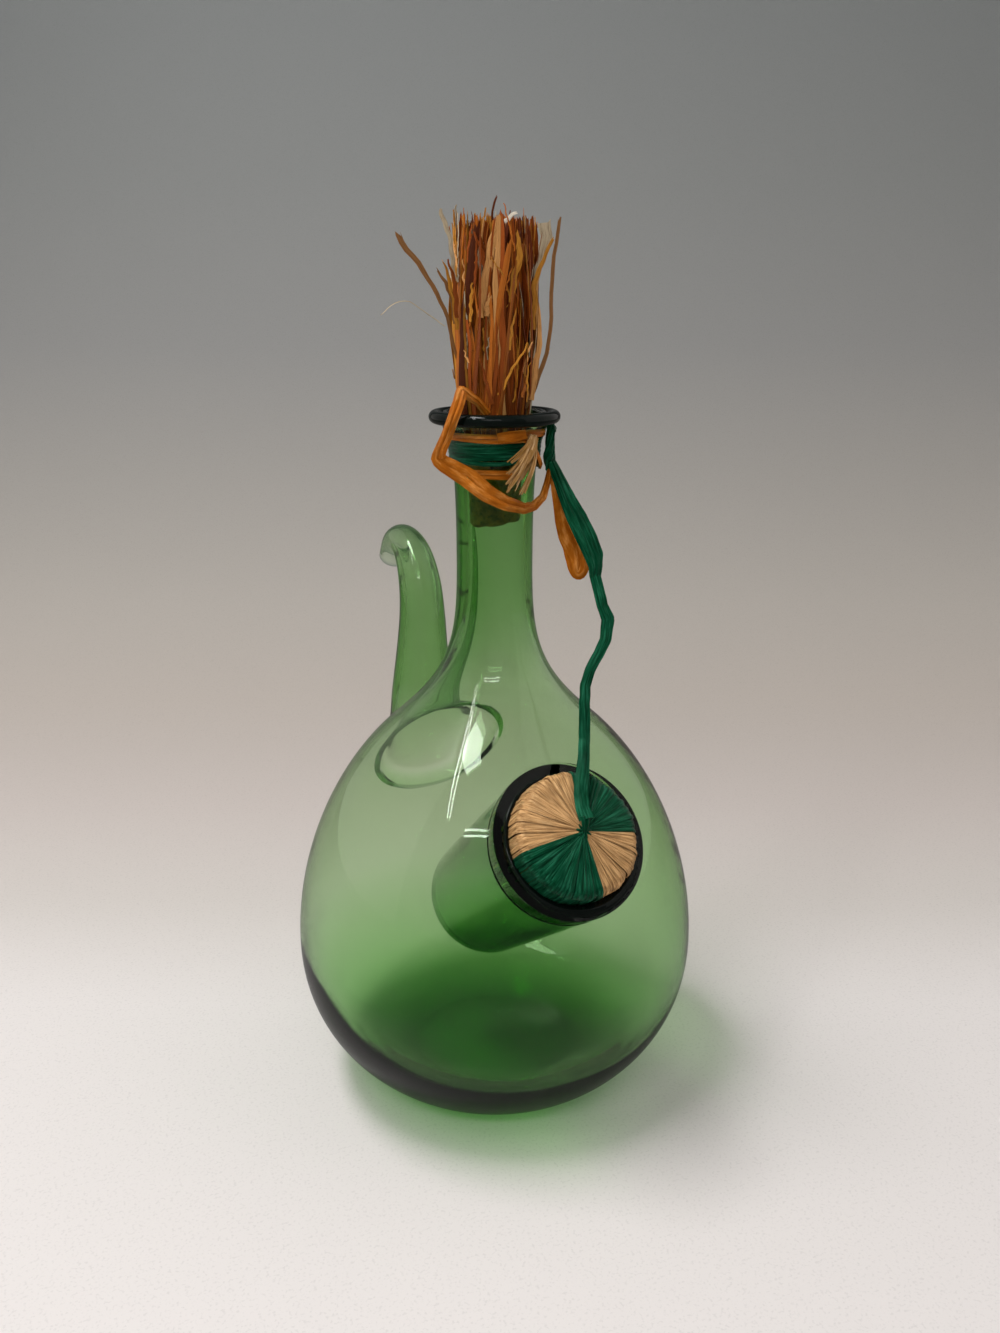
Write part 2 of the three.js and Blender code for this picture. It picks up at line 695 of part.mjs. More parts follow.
function neckWrapRings() {
  const dropAt = (turn) => WRAP_DROP - wrapPitch * turn;
  const stops = evenly(0, WRAP_TURNS, WRAP_TURNS * TIE_STEPS);
  return tieRings(tieStations(KNOT_ANGLE, stops, dropAt, (turn) => tieRadius(dropAt(turn))));
}

const wrapRadius = tieRadius(WRAP_DROP - WRAP_TURNS * wrapPitch);

// Orange: one round above the green turns, a slant across them, and one round below.
function orangeTieRings() {
  const crossing = BOW_CROSSING / 360;
  const slant = (turn) => THREE.MathUtils.clamp((turn - 1) / crossing, 0, 1);
  const dropAt = (turn) => BOW_DROP_HIGH + BOW_STEP * Math.min(turn, 1)
    + (BOW_DROP_LOW - BOW_DROP_HIGH - BOW_STEP) * slant(turn)
    + BOW_STEP * Math.max(turn - 1 - crossing, 0);
  const over = wrapRadius + TIE_THICKNESS + TURN_GAP;
  const radiusAt = (turn) => (turn < 1 || turn > 1 + crossing ? tieRadius(dropAt(turn)) : over);
  const stops = [
    ...evenly(0, 1, TIE_STEPS),
    ...evenly(1, 1 + crossing, 4).slice(1),
    ...evenly(1 + crossing, 2, TIE_STEPS - 2).slice(1),
  ];
  return tieRings(tieStations(FRAY_ANGLE, stops, dropAt, radiusAt));
}

// A knot as a lumpy upright bar, its flat back against the ends of its tie.
const KNOT_SECTION = Array.from({ length: 8 }, (_, k) => {
  const turn = ((k + 0.5) * Math.PI) / 4;
  const flat = Math.cos(Math.PI / 8);
  return [Math.cos(turn) / flat, Math.sin(turn) / flat];
});

function knot(angle, drop, length, lumps) {
  const back = wrapRadius + TIE_BEND + TIE_WIDTH + SEAT_GAP;
  const out = outwardAt(angle);
  const across = UP.clone().cross(out);
  return loft(lumps.map(([width, depth], i) => {
    const down = drop + (length * i) / (lumps.length - 1);
    const centre = around(angle, back + depth / 2, down);
    return sectionRing(KNOT_SECTION, centre, out, across, depth, width).reverse();
  }));
}

// Loose ribbons

const lipOuter = LIP_RADIUS + SEAT_GAP + 2 * LIP_THREAD;

// It lies flat over the lip, so its flat side tips from inwards to upwards to outwards there.
function orangeLoop() {
  const stations = LOOP_COURSE.map(([angle, out, drop], i) => {
    const atEnd = i === 0 || i === LOOP_COURSE.length - 1;
    const face = outwardAt(angle);
    if (i < 4) face.multiplyScalar(3 - 2 * i).addScaledVector(UP, i);
    return {
      at: around(angle, lipOuter + out, drop),
      face,
      width: atEnd ? LOOP_END_WIDTH : LOOP_WIDTH,
      thickness: LOOP_THICKNESS,
    };
  });
  return loft(ribbonRings(stations));
}

// Loose ends turn their flat side this way.
const looseFace = vector(-0.42, -0.86, 0.29).normalize();
const knotFoot = KNOT_DROP + KNOT_LENGTH;
const knotMiddle = wrapRadius + TIE_BEND + TIE_WIDTH + SEAT_GAP + 1.8;
const hang = (right, front, down) => around(KNOT_ANGLE, knotMiddle, knotFoot + SEAT_GAP)
  .add(vector(right, -front, -down));

const loose = (course, thickness) => course.map(([right, front, down, width]) => ({
  at: hang(right, front, down),
  face: looseFace,
  width,
  thickness,
}));

function tailLoop() {
  return loft(ribbonRings(loose(TAIL_COURSE, TAIL_THICKNESS)));
}

const tetherTop = vector(...TETHER_POINTS[0]);
const leafTip = tetherTop.clone().addScaledVector(
  tetherTop.clone().sub(vector(...TETHER_POINTS[1])).normalize(),
  3 * SEAT_GAP,
);

function greenLeaf() {
  const stations = loose(LEAF_COURSE, LEAF_THICKNESS);
  stations.push({ at: leafTip, face: looseFace, width: TETHER_WIDTH, thickness: LEAF_THICKNESS });
  return loft(ribbonRings(stations));
}

function tether() {
  const path = new THREE.CatmullRomCurve3(TETHER_POINTS.map((p) => vector(...p)));
  const section = new THREE.Shape(Array.from({ length: 8 }, (_, k) => {
    const turn = ((k + 0.5) * Math.PI) / 4;
    return new THREE.Vector2(
      (TETHER_THICKNESS / 2) * Math.cos(turn),
      (TETHER_WIDTH / 2) * Math.sin(turn),
    );
  }));
  return new THREE.ExtrudeGeometry(section, { steps: 26, extrudePath: path, bevelEnabled: false });
}

// Finishes

const finish = (color, roughness) => new THREE.MeshStandardMaterial({ color, roughness, metalness: 0 });
const greenGlass = finish(0x5c9150, 0.05);
const darkGlass = finish(0x16301b, 0.05);
const cork = finish(0x8a6238, 0.9);
const straw = finish(0xb06a24, 0.7);
const naturalRaffia = finish(0xd1a878, 0.6);
const greenRaffia = finish(0x0b6a3c, 0.45);
const orangeRaffia = finish(0xe07c1e, 0.5);
const tanRaffia = finish(0xb98a52, 0.8);

const named = (name, geometry, material) => {
  const mesh = new THREE.Mesh(geometry, material.clone());
  mesh.name = name;
  return mesh;
};

// The assembly

const decanter = new THREE.Group();
decanter.add(
  named("flask", flask(), greenGlass),
  named("lip_ring", lipRing(), darkGlass),
  named("spout", spout(), greenGlass),
);

const pocketFrame = new THREE.Group();
pocketFrame.applyMatrix4(pocketPlace);
pocketFrame.add(
  named("ice_pocket", icePocket(), greenGlass),
  named("pocket_lip", pocketLip(), darkGlass),
  named("ice_cork", iceCork(), cork),
  named("centre_knot", centreKnot(), greenRaffia),
);
let firstTurn = 0;
RAFFIA_TURNS.forEach((turns, sector) => {
  const rings = raffiaRings(firstTurn, turns);
  const colour = sector % 2 ? "natural" : "green";
  const name = `raffia_${colour}_${sector < 2 ? "upper" : "lower"}`;
  pocketFrame.add(named(name, loft(rings), sector % 2 ? naturalRaffia : greenRaffia));
  console.log(`${name}: least gap to itself ${leastGap(rings, raffiaCourse.length).toFixed(2)} mm`);
  firstTurn += turns;
});
decanter.add(pocketFrame);

decanter.add(named("neck_cork", neckCork(), cork));
["front_right", "back_right", "back_left", "front_left"].forEach((side, quarter) => {
  decanter.add(named(`straw_${side}`, strawQuarter(quarter - 1), straw));
});

const wrap = neckWrapRings();
const orangeTie = orangeTieRings();
console.log(`neck_wrap: least gap to itself ${leastGap(wrap, TIE_STEPS).toFixed(2)} mm`);
console.log(`orange_tie: least gap to itself ${leastGap(orangeTie, TIE_STEPS).toFixed(2)} mm`);
const greenKnot = knot(KNOT_ANGLE, KNOT_DROP, KNOT_LENGTH, GREEN_LUMPS);
const frayedKnot = knot(FRAY_ANGLE, FRAY_DROP, FRAY_LENGTH, FRAYED_LUMPS);
decanter.add(
  named("neck_wrap", loft(wrap), greenRaffia),
  named("green_knot", greenKnot, greenRaffia),
  named("orange_tie", loft(orangeTie), orangeRaffia),
  named("frayed_knot", frayedKnot, tanRaffia),
  named("orange_loop", orangeLoop(), orangeRaffia),
  named("orange_tail_loop", tailLoop(), orangeRaffia),
  named("green_leaf", greenLeaf(), greenRaffia),
  named("tether", tether(), greenRaffia),
);

export default decanter;
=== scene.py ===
import math
import random

import bpy
import numpy as np
from bpy.props import FloatProperty, FloatVectorProperty, IntProperty, PointerProperty
from mathutils import Euler, Matrix, Vector, noise
from mathutils.geometry import interpolate_bezier


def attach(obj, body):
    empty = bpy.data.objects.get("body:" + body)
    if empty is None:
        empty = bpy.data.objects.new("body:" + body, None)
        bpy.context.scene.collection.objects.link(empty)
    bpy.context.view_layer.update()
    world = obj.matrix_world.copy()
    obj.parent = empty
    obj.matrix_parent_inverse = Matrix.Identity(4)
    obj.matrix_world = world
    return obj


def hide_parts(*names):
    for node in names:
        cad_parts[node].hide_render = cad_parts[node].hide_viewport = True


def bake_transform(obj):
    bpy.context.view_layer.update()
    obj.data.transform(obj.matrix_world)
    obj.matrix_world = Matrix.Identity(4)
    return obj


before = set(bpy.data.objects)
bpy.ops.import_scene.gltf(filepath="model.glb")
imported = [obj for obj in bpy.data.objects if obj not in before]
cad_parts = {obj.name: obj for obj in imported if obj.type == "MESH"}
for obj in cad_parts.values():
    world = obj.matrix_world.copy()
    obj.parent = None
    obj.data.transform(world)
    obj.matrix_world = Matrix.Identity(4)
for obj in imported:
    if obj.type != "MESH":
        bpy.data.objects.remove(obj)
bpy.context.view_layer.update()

bl_info = {
    "name": "Green glass decanter",
    "version": (1, 0, 0),
    "blender": (4, 5, 0),
    "location": "3D View > Sidebar > Decanter",
    "description": "Blown decanter with an ice pocket, straw tuft, raffia ties and a wound stopper",
    "category": "Object",
}

MM = 0.001

# The side that the decanter is looked at from: the camera's heading, to the right of +Y.
HEADING = math.radians(25.15)


# Sizes and colours

def length(name, description, default):
    return FloatProperty(name=name, description=description, default=default, unit="LENGTH",
                         subtype="DISTANCE", precision=5)


def tint(name, description, default):
    return FloatVectorProperty(name=name, description=description, default=default, size=3,
                               min=0, max=1, subtype="COLOR")


class GlassSizes(bpy.types.PropertyGroup):
    base_radius: length("Base radius", "Ring that the decanter stands on", 0.036)
    floor_height: length("Floor height", "Height of the floor inside", 0.0108)
    kick: length("Kick", "How far the middle of the foot is pushed up", 0.0016)
    lean: length("Lean", "How far the hollow sits to one side at the foot", 0.0026)
    belly_radius: length("Belly radius", "Widest outside radius", 0.0786)
    belly_height: length("Belly height", "Height of the widest place", 0.062)
    belly_wall: length("Belly wall", "Glass at the widest place", 0.00155)
    shoulder_radius: length("Shoulder radius", "Where the swell turns into the neck", 0.0403)
    shoulder_height: length("Shoulder height", "Height of that place", 0.1505)
    shoulder_wall: length("Shoulder wall", "Glass at the shoulder", 0.0016)
    neck_radius: length("Neck radius", "Outside radius at the narrowest", 0.0141)
    neck_height: length("Neck height", "Height of the narrowest place", 0.215)
    neck_bore: length("Neck bore", "Inside radius of the neck", 0.0104)
    collar_radius: length("Collar radius", "Outside radius where the lip starts to flare", 0.0152)
    lip_radius: length("Lip radius", "Outside radius of the lip", 0.0189)
    lip_height: length("Lip height", "Height of the lip", 0.2676)
    lip_thread: length("Lip thread", "Section radius of the dark thread round the lip", 0.0023)
    spout_wall: length("Spout wall", "Glass of the spout, thinner at its tip", 0.0032)
    pocket_radius: length("Pocket radius", "Outside radius under the pocket's mouth", 0.0274)
    pocket_bore: length("Pocket bore", "Inside radius at the pocket's mouth", 0.0228)
    pocket_taper: length("Pocket taper", "How much narrower the pocket is at its end", 0.0031)
    pocket_depth: length("Pocket depth", "Length of the ice pocket", 0.097)
    turns: IntProperty(name="Sides", description="Steps round the glass", default=128, min=32)


class StopperSizes(bpy.types.PropertyGroup):
    cork_radius: length("Cork radius", "Radius of the neck's cork at its top", 0.0099)
    cork_length: length("Cork length", "Length of the neck's cork", 0.0236)
    straws: IntProperty(name="Straws", description="Split straws in the tuft", default=430, min=50)
    splinters: IntProperty(name="Splinters", description="Short ones that stand off", default=110,
                           min=0)
    straw_width: length("Straw width", "Width of a common straw", 0.0015)
    tuft_height: length("Tuft height", "How far the body of the tuft stands above the lip", 0.0655)
    plug_radius: length("Wound radius", "Outside radius of the pocket's stopper", 0.0225)
    plug_proud: length("Proud", "How far its rim stands out of the pocket", 0.011)
    plug_sunk: length("Sunk", "How far it reaches into the pocket", 0.0138)


class TieSizes(bpy.types.PropertyGroup):
    tether_width: length("Tether width", "Width of the ribbon to the pocket's stopper", 0.0039)


class Finishes(bpy.types.PropertyGroup):
    glass: tint("Glass", "What the green glass lets through", (0.226, 0.648, 0.05))
    cork: tint("Cork", "Colour of the corks", (0.22, 0.085, 0.02))
    dark_glass: tint("Dark glass", "Colour of the threads round the mouths", (0.002, 0.004, 0.003))
    green: tint("Green raffia", "Colour of the green raffia", (0.003, 0.056, 0.024))
    orange: tint("Orange raffia", "Colour of the orange raffia", (0.42, 0.12, 0.009))
    natural: tint("Natural raffia", "Colour of the natural raffia", (0.52, 0.29, 0.12))
    tan: tint("Frayed raffia", "Colour of the frayed knot", (0.42, 0.22, 0.07))
    floor: tint("Floor", "Colour of the floor round the decanter", (0.68, 0.64, 0.625))


# Places

def seen(right, away, up):
    """A place from the photographed side, in millimetres from the middle of the base."""
    turned = Matrix.Rotation(-HEADING, 3, "Z") @ Vector((right, away, up))
    return turned * MM


# The middle of the pocket's mouth, and how far its axis leans to the front.
POCKET_MOUTH = (0, -0.060744, 0.125)
POCKET_LEAN = math.radians(51.8)


def pocket_place():
    """The pocket's own frame: Z points out of its mouth, from the mouth's middle."""
    return Matrix.Translation(POCKET_MOUTH) @ Matrix.Rotation(POCKET_LEAN, 4, "X")


def polar(turn, radius=1, height=0):
    """A place by its turn from +X, its radius and its height."""
    return Vector((radius * math.cos(turn), radius * math.sin(turn), height))


def around(angle, radius, drop, lip):
    """A point by the angle from the front towards +X, the radius and the drop below the lip."""
    return polar(math.radians(angle - 90), radius, lip - drop)


def outward(angle):
    return around(angle, 1, 0, 0)


def row(at, face, width):
    """A ribbon's row from a place in metres, the way its flat side faces, and its width in
    millimetres."""
    return (*(at / MM), *face, width)


def through(rows, count, kinked=False):
    """Rows of numbers on a smooth or kinked line through the given ones, evenly along its first
    three."""
    rows = np.array(rows, dtype=float)
    ends = np.vstack([2 * rows[0] - rows[1], rows, 2 * rows[-1] - rows[-2]])
    dense = []
    for i in range(len(rows) - 1):
        a, b, c, d = ends[i:i + 4]
        if kinked:
            dense.append(b)
            continue
        for t in np.linspace(0, 1, 24, endpoint=False):
            dense.append(0.5 * (2 * b + (c - a) * t + (2 * a - 5 * b + 4 * c - d) * t * t
                                + (3 * b - a - 3 * c + d) * t ** 3))
    dense.append(rows[-1])
    dense = np.array(dense)
    steps = np.linalg.norm(np.diff(dense[:, :3], axis=0), axis=1)
    run = np.concatenate([[0], np.cumsum(steps)])
    wanted = np.linspace(0, run[-1], count)
    return np.stack([np.interp(wanted, run, dense[:, k]) for k in range(dense.shape[1])], axis=1)


def bend(start, start_handle, end_handle, end, count):
    """Points of a profile on a smooth curve between two places, all as (radius, height)."""
    corners = [Vector((r, 0, z)) for r, z in (start, start_handle, end_handle, end)]
    return [(p.x, p.z) for p in interpolate_bezier(*corners, count)]


# Modelling

# Points closer than this are one point.
NEAR = 2e-6


def nothing_selected():
    if bpy.context.object and bpy.context.object.mode != "OBJECT":
        bpy.ops.object.mode_set(mode="OBJECT")
    bpy.ops.object.select_all(action="DESELECT")


def pick(*pieces):
    nothing_selected()
    for piece in pieces:
        piece.select_set(True)
    bpy.context.view_layer.objects.active = pieces[0]


def spun(name, profile, turns):
    """A skin turned round Z from a profile of (radius, height)."""
    nothing_selected()
    bpy.ops.mesh.primitive_plane_add(size=MM)
    piece = bpy.context.object
    piece.name = piece.data.name = name
    bpy.ops.object.mode_set(mode="EDIT")
    bpy.ops.mesh.select_all(action="SELECT")
    bpy.ops.mesh.merge(type="CENTER")
    bpy.ops.transform.translate(value=(profile[0][0], 0, profile[0][1]))
    for (r0, z0), (r1, z1) in zip(profile, profile[1:]):
        bpy.ops.mesh.extrude_vertices_move(TRANSFORM_OT_translate={"value": (r1 - r0, 0, z1 - z0)})
    bpy.ops.mesh.select_all(action="SELECT")
    bpy.ops.mesh.spin(steps=turns, angle=math.tau, center=(0, 0, 0), axis=(0, 0, 1))
    tidied()
    return piece


def tidied():
    """In edit mode: doubles merged and faces turned outwards."""
    bpy.ops.mesh.select_all(action="SELECT")
    bpy.ops.mesh.remove_doubles(threshold=NEAR)
    bpy.ops.mesh.normals_make_consistent(inside=False)
    bpy.ops.object.mode_set(mode="OBJECT")


def blank(across, along):
    """A flat grid, u across it and v along it, that a strip or a skin is laid from."""
    nothing_selected()
    bpy.ops.mesh.primitive_grid_add(x_subdivisions=across, y_subdivisions=along, size=1)
    return bpy.context.object


def laid(start, name, place, size=(1, 1), shift=(0, 0)):
    """A copy of a blank with its points at place(u, v), u from -0.5 to 0.5 and v from 0 to 1.
    Its UV map is in the units of size."""
    piece = start.copy()
    piece.data = start.data.copy()
    piece.name = piece.data.name = name
    bpy.context.collection.objects.link(piece)
    flat = [v.co.copy() for v in piece.data.vertices]
    for vertex, co in zip(piece.data.vertices, flat):
        vertex.co = place(co.x, co.y + 0.5)
    uv = piece.data.uv_layers[0]
    for loop, corner in zip(piece.data.loops, uv.data):
        co = flat[loop.vertex_index]
        corner.uv = (co.x * size[0] + shift[0], (co.y + 0.5) * size[1] + shift[1])
    return piece


def joined(name, pieces):
    pick(*pieces)
    if len(pieces) > 1:
        bpy.ops.object.join()
    piece = bpy.context.object
    piece.name = piece.data.name = name
    return piece


def closed_up(piece):
    """Merges a laid piece's doubles, closes its ends and turns its faces outwards."""
    pick(piece)
    bpy.ops.object.mode_set(mode="EDIT")
    bpy.ops.mesh.select_all(action="SELECT")
    bpy.ops.mesh.remove_doubles(threshold=NEAR)
    bpy.ops.mesh.select_all(action="SELECT")
    bpy.ops.mesh.fill_holes(sides=0)
    tidied()


def tube(name, rings, sides):
    """A round skin over rings of (place, along, radius), closed at both ends."""
    start = blank(sides, len(rings) - 1)
    frames = []
    side = Vector((1, 0, 0))
    for place, along, radius in rings:
        along = Vector(along).normalized()
        across = (side - along * side.dot(along)).normalized()
        frames.append((Vector(place), across, along.cross(across), radius))

    def place(u, v):
        centre, across, above, radius = frames[round(v * (len(rings) - 1))]
        turn = u * math.tau
        return centre + (across * math.cos(turn) + above * math.sin(turn)) * radius

    piece = laid(start, name, place)
    bpy.data.objects.remove(start)
    closed_up(piece)
    return piece


def modified(piece, kind, **settings):
    """A modifier added with its settings and applied."""
    pick(piece)
    modifier = piece.modifiers.new(kind.title(), kind)
    for key, value in settings.items():
        setattr(modifier, key, value)
    bpy.ops.object.modifier_apply(modifier=modifier.name)
    return piece


def cut(piece, tool, operation="DIFFERENCE"):
    """Joins the tool to the piece or takes it away, and uses the tool up."""
    modified(piece, "BOOLEAN", object=tool, operation=operation, solver="EXACT")
    bpy.data.objects.remove(tool)
    return piece


def smooth(piece, angle=40):
    pick(piece)
    bpy.ops.object.shade_smooth_by_angle(angle=math.radians(angle))


def set_in_place(piece, matrix):
    piece.matrix_world = matrix
    pick(piece)
    bpy.ops.object.transform_apply(location=True, rotation=True, scale=True)


def hung(rows):
    """Rows of a loose ribbon from (right, away, up, width) in millimetres from the photographed
    side, its flat side to the front."""
    return [row(seen(right, away, up), FACING, width) for right, away, up, width in rows]


def ribbon(name, rows, strips=2, along=60, thickness=0.25, crease=0.3, overlap=1.3, seed=1,
           kinked=False, ragged=0.12):
    """A ribbon of raffia: flat creased strips side by side that lap over each other. A row is
    x, y, z, the way its flat side faces as three numbers, and its width, in millimetres."""
    draw = random.Random(seed)
    stations = through(rows, along + 1, kinked)
    stations[:, :3] *= MM
    stations[:, 6] *= MM
    run = np.linalg.norm(np.diff(stations[:, :3], axis=0), axis=1).sum()
    frames = []
    for i, here in enumerate(stations):
        before, after = stations[max(i - 1, 0)], stations[min(i + 1, along)]
        travel = Vector(after[:3] - before[:3]).normalized()
        side = Vector(here[3:6]).cross(travel).normalized()
        frames.append((Vector(here[:3]), side, travel.cross(side).normalized(), here[6]))
    start = blank(6, along)
    pieces = []
    for k in range(strips):
        middle = (k + 0.5) / strips - 0.5
        share = overlap / strips
        lift = draw.uniform(-0.16, 0.16)
        tilt = draw.uniform(-0.35, 0.35)
        ridge = draw.uniform(-0.2, 0.2)

        def place(u, v):
            centre, side, face, width = frames[round(v * along)]
            drift = 0.5 / strips * noise.noise(Vector((v * run * 45, seed, k * 3.1)))
            edge = 1 + ragged * noise.noise(Vector((u * 2, v * run * 260, seed + k * 5)))
            across = (middle + drift + u * share * edge) * width
            roof = crease * (1 - 2 * abs(u - ridge)) + tilt * u
            wave = 0.25 * crease * noise.noise(Vector((u * 5, v * run * 190, seed * 7.3 + k)))
            return centre + side * across + face * (lift + roof + wave) * MM

        pieces.append(laid(start, name, place, size=(stations[:, 6].mean() / MM * share, run / MM),
                           shift=(seed * 31 + k * 9.3, seed * 17 + k * 27)))
    bpy.data.objects.remove(start)
    piece = joined(name, pieces)
    modified(piece, "SOLIDIFY", thickness=thickness * MM, offset=0)
    smooth(piece, 24)
    return piece


# Materials

def nodes_of(name, roughness):
    material = bpy.data.materials.new(name)
    material.use_nodes = True
    tree = material.node_tree
    shell = tree.nodes["Principled BSDF"]
    shell.inputs["Roughness"].default_value = roughness
    return material, tree, shell


def node(tree, kind, **values):
    """A node whose settings and unlinked sockets are given by name."""
    made = tree.nodes.new("ShaderNode" + kind)
    for key, value in values.items():
        if key in made.inputs:
            made.inputs[key].default_value = value
        else:
            setattr(made, key, value)
    return made


def wire(tree, *chain):
    """Links nodes in a row: a node, its output, the socket that it feeds, the next node, and so
    on."""
    for source, output, socket, target in zip(chain[::3], chain[1::3], chain[2::3], chain[3::3]):
        tree.links.new(source.outputs[output], target.inputs[socket])


def ramp(tree, stops):
    made = node(tree, "ValToRGB")
    bands = made.color_ramp.elements
    while len(bands) < len(stops):
        bands.new(0.5)
    for band, (where, colour) in zip(bands, stops):
        band.position = where
        band.color = (*colour, 1)
    return made


def multiplied(tree, first, second):
    """The colours of two nodes, multiplied."""
    mixed = node(tree, "Mix", data_type="RGBA", blend_type="MULTIPLY")
    mixed.inputs["Factor"].default_value = 1
    wire(tree, first, "Color", "A", mixed)
    wire(tree, second, "Color", "B", mixed)
    return mixed


def bumped(tree, texture, shell, strength, distance):
    """Raises a shell's surface by a texture."""
    bump = node(tree, "Bump", Strength=strength, Distance=distance)
    wire(tree, texture, "Fac", "Height", bump, "Normal", "Normal", shell)


def tinted(colour, by):
    return tuple(min(1, c * by) for c in colour)


def grey(tone):
    return (tone, tone, tone)


def glass_finish(name, colour):
    """Coloured glass: a clear shell with a slight ripple, and the colour in its depth. Shadows
    and scattered light pass straight through it, so that the floor is lit through the glass."""
    material, tree, shell = nodes_of(name, 0.0)
    shell.inputs["Base Color"].default_value = (1, 1, 1, 1)
    shell.inputs["IOR"].default_value = 1.5
    shell.inputs["Specular Tint"].default_value = (0.03, 0.05, 0.03, 1)
    shell.inputs["Transmission Weight"].default_value = 1
    shell.inputs["Coat Weight"].default_value = 0.35
    shell.inputs["Coat Roughness"].default_value = 0.012
    ripple = node(tree, "TexNoise", Scale=28, Detail=1.5)
    wire(tree, node(tree, "TexCoord"), "Object", "Vector", ripple)
    bumped(tree, ripple, shell, 0.12, 0.001)
    depth = node(tree, "VolumeAbsorption", Color=(*colour, 1), Density=265)
    rays = node(tree, "LightPath")
    clear = node(tree, "BsdfTransparent", Color=(0.92, 0.95, 0.905, 1))
    lit = node(tree, "MixShader")
    shown = node(tree, "MixShader")
    out = tree.nodes["Material Output"]
    wire(tree, rays, "Is Shadow Ray", "Fac", lit)
    wire(tree, rays, "Is Diffuse Ray", "Fac", shown)
    wire(tree, shell, "BSDF", 1, lit, "Shader", 1, shown, "Shader", "Surface", out)
    for mix in (lit, shown):
        wire(tree, clear, "BSDF", 2, mix)
    wire(tree, depth, "Volume", "Volume", out)
    return material


def dark_glass_finish(name, colour):
    """Glass drawn so thick that no light comes through."""
    material, tree, shell = nodes_of(name, 0.03)
    shell.inputs["Base Color"].default_value = (*colour, 1)
    shell.inputs["Specular IOR Level"].default_value = 0.12
    ripple = node(tree, "TexNoise", Scale=90, Detail=1)
    wire(tree, node(tree, "TexCoord"), "Object", "Vector", ripple)
    bumped(tree, ripple, shell, 0.15, 0.001)
    return material


def raffia_finish(name, middle, dark, light, gloss, shine, grain):
    """Raffia: long streaks of lighter and darker fibre along the strip, in patches. The lighter
    streaks are partly paler fibre and partly painted sheen.
    """
    material, tree, shell = nodes_of(name, gloss)
    shell.inputs["Specular IOR Level"].default_value = shine
    shell.inputs["Specular Tint"].default_value = (*light, 1)
    where = node(tree, "UVMap")
    stretch = node(tree, "Mapping", Scale=(grain, 0.09, 1))
    streak = node(tree, "TexNoise", Scale=1.0, Detail=5, Roughness=0.65)
    paint = ramp(tree, [(0.34, dark), (0.5, middle), (0.68, light)])
    patch = node(tree, "TexNoise", Scale=0.11, Detail=2)
    shade = ramp(tree, [(0.35, grey(0.62)), (0.65, grey(1))])
    wear = node(tree, "MapRange")
    wear.inputs["To Min"].default_value = gloss - 0.08
    wear.inputs["To Max"].default_value = gloss + 0.2
    wire(tree, where, "UV", "Vector", stretch, "Vector", "Vector", streak, "Fac", "Fac", paint)
    wire(tree, where, "UV", "Vector", patch, "Fac", "Fac", shade)
    wire(tree, multiplied(tree, paint, shade), "Result", "Base Color", shell)
    wire(tree, streak, "Fac", "Value", wear, "Result", "Roughness", shell)
    bumped(tree, streak, shell, 0.45, 0.0003)
    return material


def straw_finish(name):
    """Split straw: each straw has its own tone, with fine lengthwise grain."""
    material, tree, shell = nodes_of(name, 0.4)
    shell.inputs["Specular IOR Level"].default_value = 0.3
    shell.inputs["Specular Tint"].default_value = (0.9, 0.6, 0.35, 1)
    tone = node(tree, "Attribute", attribute_name="tone")
    stretch = node(tree, "Mapping", Scale=(3.2, 0.06, 1))
    grain = node(tree, "TexNoise", Scale=1.0, Detail=5, Roughness=0.7)
    shade = ramp(tree, [(0.3, (0.35, 0.3, 0.25)), (0.52, grey(0.95)), (0.75, grey(1))])
    wire(tree, node(tree, "UVMap"), "UV", "Vector", stretch, "Vector", "Vector", grain, "Fac",
         "Fac", shade)
    wire(tree, multiplied(tree, tone, shade), "Result", "Base Color", shell)
    bumped(tree, grain, shell, 0.4, 0.0003)
    return material


def cork_finish(name, colour):
    """Cork: mottled, with dark pits."""
    material, tree, shell = nodes_of(name, 0.75)
    where = node(tree, "TexCoord")
    mottle = node(tree, "TexNoise", Scale=420, Detail=6, Roughness=0.7)
    paint = ramp(tree, [(0.3, tinted(colour, 0.3)), (0.5, colour), (0.72, tinted(colour, 1.6))])
    pits = node(tree, "TexVoronoi", Scale=520)
    hollow = ramp(tree, [(0.08, (0.25, 0.2, 0.15)), (0.3, grey(1))])
    wire(tree, where, "Object", "Vector", mottle, "Fac", "Fac", paint)
    wire(tree, where, "Object", "Vector", pits, "Distance", "Fac", hollow)
    wire(tree, multiplied(tree, paint, hollow), "Result", "Base Color", shell)
    bumped(tree, mottle, shell, 0.6, 0.0005)
    return material


# Each raffia's dark and light streaks, its roughness, its shine and how fine its grain is. The
# light streaks are partly painted sheen.
RAFFIA = {
    "natural_raffia": ((0.17, 0.085, 0.03), (0.74, 0.47, 0.23), 0.5, 0.25, 2.6),
    "green_raffia": ((0.001, 0.022, 0.008), (0.02, 0.14, 0.075), 0.25, 0.45, 1.7),
    "orange_raffia": ((0.29, 0.07, 0.004), (0.74, 0.3, 0.07), 0.34, 0.4, 0.6),
    "tan_raffia": ((0.2, 0.09, 0.01), (0.75, 0.5, 0.27), 0.5, 0.25, 2.0),
}
FINISHES = {}


def finish_for(slot):
    """The material of one of the record's slots, made once."""
    if slot not in FINISHES:
        colours = bpy.context.scene.decanter_finishes
        if slot in RAFFIA:
            middle = getattr(colours, slot.removesuffix("_raffia"))
            FINISHES[slot] = raffia_finish(slot, middle, *RAFFIA[slot])
        elif slot == "green_glass":
            FINISHES[slot] = glass_finish(slot, colours.glass)
        elif slot == "dark_glass":
            FINISHES[slot] = dark_glass_finish(slot, colours.dark_glass)
        elif slot == "cork":
            FINISHES[slot] = cork_finish(slot, colours.cork)
        else:
            FINISHES[slot] = straw_finish(slot)
    return FINISHES[slot]


